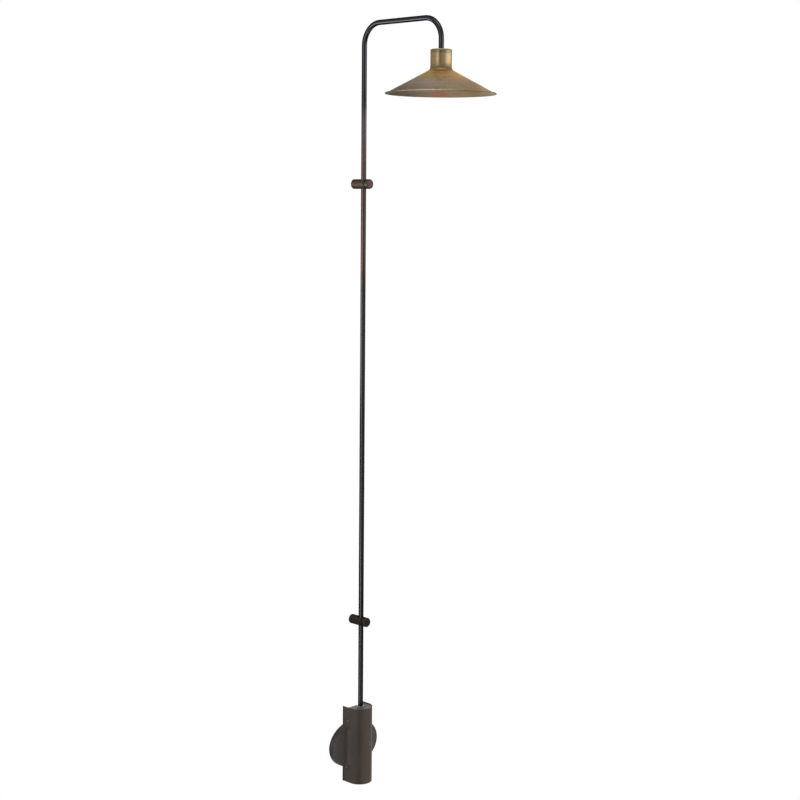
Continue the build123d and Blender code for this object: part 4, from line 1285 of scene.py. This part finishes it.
low, high = box_in_mm("terminal_block")
pole_height = round((low.z + high.z) / 2, 1)
seats = [((side * POLE_SPACING, low.y + WELL_DEPTH, pole_height), OUT) for side in (-1, 0, 1)]
screw_head = turned("clamp_screw_model", CLAMP_SCREW_PROFILE)
combine(screw_head, put(block("slot", *CLAMP_SLOT), (0, 0, CLAMP_SLOT[2])))
clamp_screws = placed_copies("slotted_terminal_screws", screw_head, seats)
seated(clamp_screws, "terminal_block", finishes["screw_steel"])

# %% [markdown]
# ## Backdrop
# A white cove could be built round the light, but what it throws back would wash the colours
# out. So the world shows white to the lens, and to mirror and glass rays, and gives the object
# only a plain level of light, at which a colour renders about as it was written.

# %% Backdrop
WORLD_LIGHT = 0.42
WHITE = (1, 1, 1, 1)


def white_where_seen(tree):
    """1 for camera, mirror and glass rays, 0 for the light that falls on the object."""
    rays = add(tree, "ShaderNodeLightPath").outputs
    first = calc(tree, "MAXIMUM", rays["Is Camera Ray"], rays["Is Glossy Ray"])
    return calc(tree, "MAXIMUM", first, rays["Is Transmission Ray"])


world = bpy.data.worlds.new("studio_world")
bpy.context.scene.world = world
world.use_nodes = True
tree = world.node_tree
tree.nodes.clear()
light = add(tree, "ShaderNodeBackground", None, {"Color": WHITE, "Strength": WORLD_LIGHT})
white = add(tree, "ShaderNodeBackground", None, {"Color": WHITE, "Strength": 1.0})
mixed = add(tree, "ShaderNodeMixShader", None,
            {0: white_where_seen(tree), 1: light.outputs[0], 2: white.outputs[0]})
add(tree, "ShaderNodeOutputWorld", None, {"Surface": mixed.outputs[0]})
print("the world lights the object at", WORLD_LIGHT)

# %% [markdown]
# ## Floor
# The light hangs on a wall, so its floor is far below. It keeps the object's faint shadow near
# the middle and glows to white further out, so that it has no visible end. A shadow catcher
# would need its picture to be laid over a white one afterwards, and this floor doesn't.

# %% Floor
FLOOR_DROP = 0.95
FLOOR_SIZE = 60.0
SHADOW_SHARE = 0.22
FLOOR_GLOW = 1.145
SHADOW_NEAR = 0.9
SHADOW_FAR = 3.0

bpy.ops.object.select_all(action="DESELECT")
bpy.ops.mesh.primitive_plane_add(size=FLOOR_SIZE, location=(0, 0, cad_box[0].z - FLOOR_DROP))
floor = bpy.context.object
floor.name = "studio_floor"
floor_material, tree = bare_material("pale_floor")
x, y = object_place(tree)[0:2]
away = distance(tree, x, y)
shadow_share = span(tree, away, SHADOW_SHARE, 0.0, SHADOW_NEAR, SHADOW_FAR)
glow_level = span(tree, away, FLOOR_GLOW, 1.0, SHADOW_NEAR, SHADOW_FAR)
paint = add(tree, "ShaderNodeBsdfDiffuse", None, {"Color": linear("f2f2f0")})
glow = add(tree, "ShaderNodeEmission", None, {"Color": WHITE, "Strength": glow_level})
share = calc(tree, "MULTIPLY", white_where_seen(tree), calc(tree, "SUBTRACT", 1.0, shadow_share))
mixed = add(tree, "ShaderNodeMixShader", None, {0: share, 1: paint.outputs[0], 2: glow.outputs[0]})
add(tree, "ShaderNodeOutputMaterial", None, {"Surface": mixed.outputs[0]})
floor.data.materials.append(floor_material)
print("the floor lies", FLOOR_DROP, "m below the light")

# %% [markdown]
# ## Lamps
# Three soft rectangles light the object: a tall one on its left, a small one low on its right and
# one above. Spots would draw hard shadows in the shade. The left and the right lamp are hidden
# from mirror rays, so the metal doesn't show them, and the cards of the next step stand in.

# %% Lamps
STEM_MIDDLE = (0, -0.1, 0.8)
HOUSING_MIDDLE = (0, -0.05, 0.0)


def aim_at(thing, place, aim):
    """Puts a thing at place so that its -Z side looks at aim."""
    thing.location = place
    thing.rotation_mode = "QUATERNION"
    thing.rotation_quaternion = (Vector(aim) - Vector(place)).to_track_quat("-Z", "Y")


def soft_lamp(name, place, aim, width, height, watts, mirrored):
    """A rectangular soft light. Mirrored says if metal shows it."""
    data = bpy.data.lights.new(name, "AREA")
    data.shape = "RECTANGLE"
    data.size = width
    data.size_y = height
    data.energy = watts
    lamp = bpy.data.objects.new(name, data)
    bpy.context.scene.collection.objects.link(lamp)
    aim_at(lamp, place, aim)
    lamp.visible_camera = False
    lamp.visible_glossy = mirrored


soft_lamp("left_soft_light", (-3.1, -1.35, 1.0), STEM_MIDDLE, 1.2, 3.9, 50, False)
soft_lamp("right_soft_light", (1.6, -3.0, -0.1), HOUSING_MIDDLE, 0.8, 0.6, 45, False)
soft_lamp("top_soft_light", (-0.6, -0.8, 3.6), STEM_MIDDLE, 1.2, 1.2, 14, True)
print("three lamps light the object")

# %% [markdown]
# ## Cards for the dark metal
# Polished dark metal shows what stands round it more than it shows light. So a photographer sets
# cards out of view, and here six cards are seen by mirror rays alone:
# - front_dark_card: a wide grey card in front, for the dark right half of the tube
# - left_bright_card: a bright strip far on the left, for the light line along tube and neck
# - near_dark_card: a dark card beside that strip, which keeps the line narrow
# - rear_dark_card: a dark card low behind, for the dark left edge of the lower tube
# - arm_bright_card: a bright card low behind, for the light line along the arm
# - neck_bright_card: a bright card high on the right, for the edge of the neck

# %% Cards
# Each row holds a name, a place, an aim, a width and a height in metres, the tones of the
# card's lower and upper end, and how bright it glows.
CARDS = [
    ("front_dark_card", (0.9, -1.66, 0.3), (0, -0.1, 0.3), 5.0, 1.7, "808080", "ffffff", 1.0),
    ("near_dark_card", (-1.74, -1.27, 0.95), (0, -0.1, 0.95), 0.8, 3.4, "202020", "202020", 1.0),
    ("left_bright_card", (-3.3, -0.5, 1.0), (0, -0.1, 1.0), 0.9, 3.9, "ffffff", "848484", 9.5),
    ("rear_dark_card", (-0.9, 0.9, -0.25), (0, -0.1, -0.25), 1.6, 1.9, "181818", "181818", 1.0),
    ("arm_bright_card", (-1.75, 1.83, 0.35), (0, -0.15, 1.7), 2.2, 1.5, "e0e0e0", "ffffff", 9.0),
    ("neck_bright_card", (1.31, -1.73, 1.9), (0, -0.27, 1.6), 2.6, 0.7, "f2f4ff", "f2f4ff", 5.2),
]


def mirror_card(name, place, aim, width, height, low_tone, high_tone, strength):
    """A card that only mirror rays meet: it casts no shadow and the lens looks through it."""
    bpy.ops.object.select_all(action="DESELECT")
    bpy.ops.mesh.primitive_plane_add(size=1.0)
    card = bpy.context.object
    card.name = name
    card.scale = (width, height, 1.0)
    aim_at(card, place, aim)
    material, tree = bare_material(name + "_felt")
    tone = ramp(tree, span(tree, object_place(tree)["Y"], 0, 1, -0.5, 0.5),
                [(0.0, low_tone), (1.0, high_tone)])
    felt = add(tree, "ShaderNodeEmission", None, {"Color": tone, "Strength": strength})
    add(tree, "ShaderNodeOutputMaterial", None, {"Surface": felt.outputs[0]})
    card.data.materials.append(material)
    card.visible_camera = False
    card.visible_diffuse = False
    card.visible_shadow = False
    card.visible_transmission = False


for row in CARDS:
    mirror_card(*row)
print("the metal sees", len(CARDS), "cards")
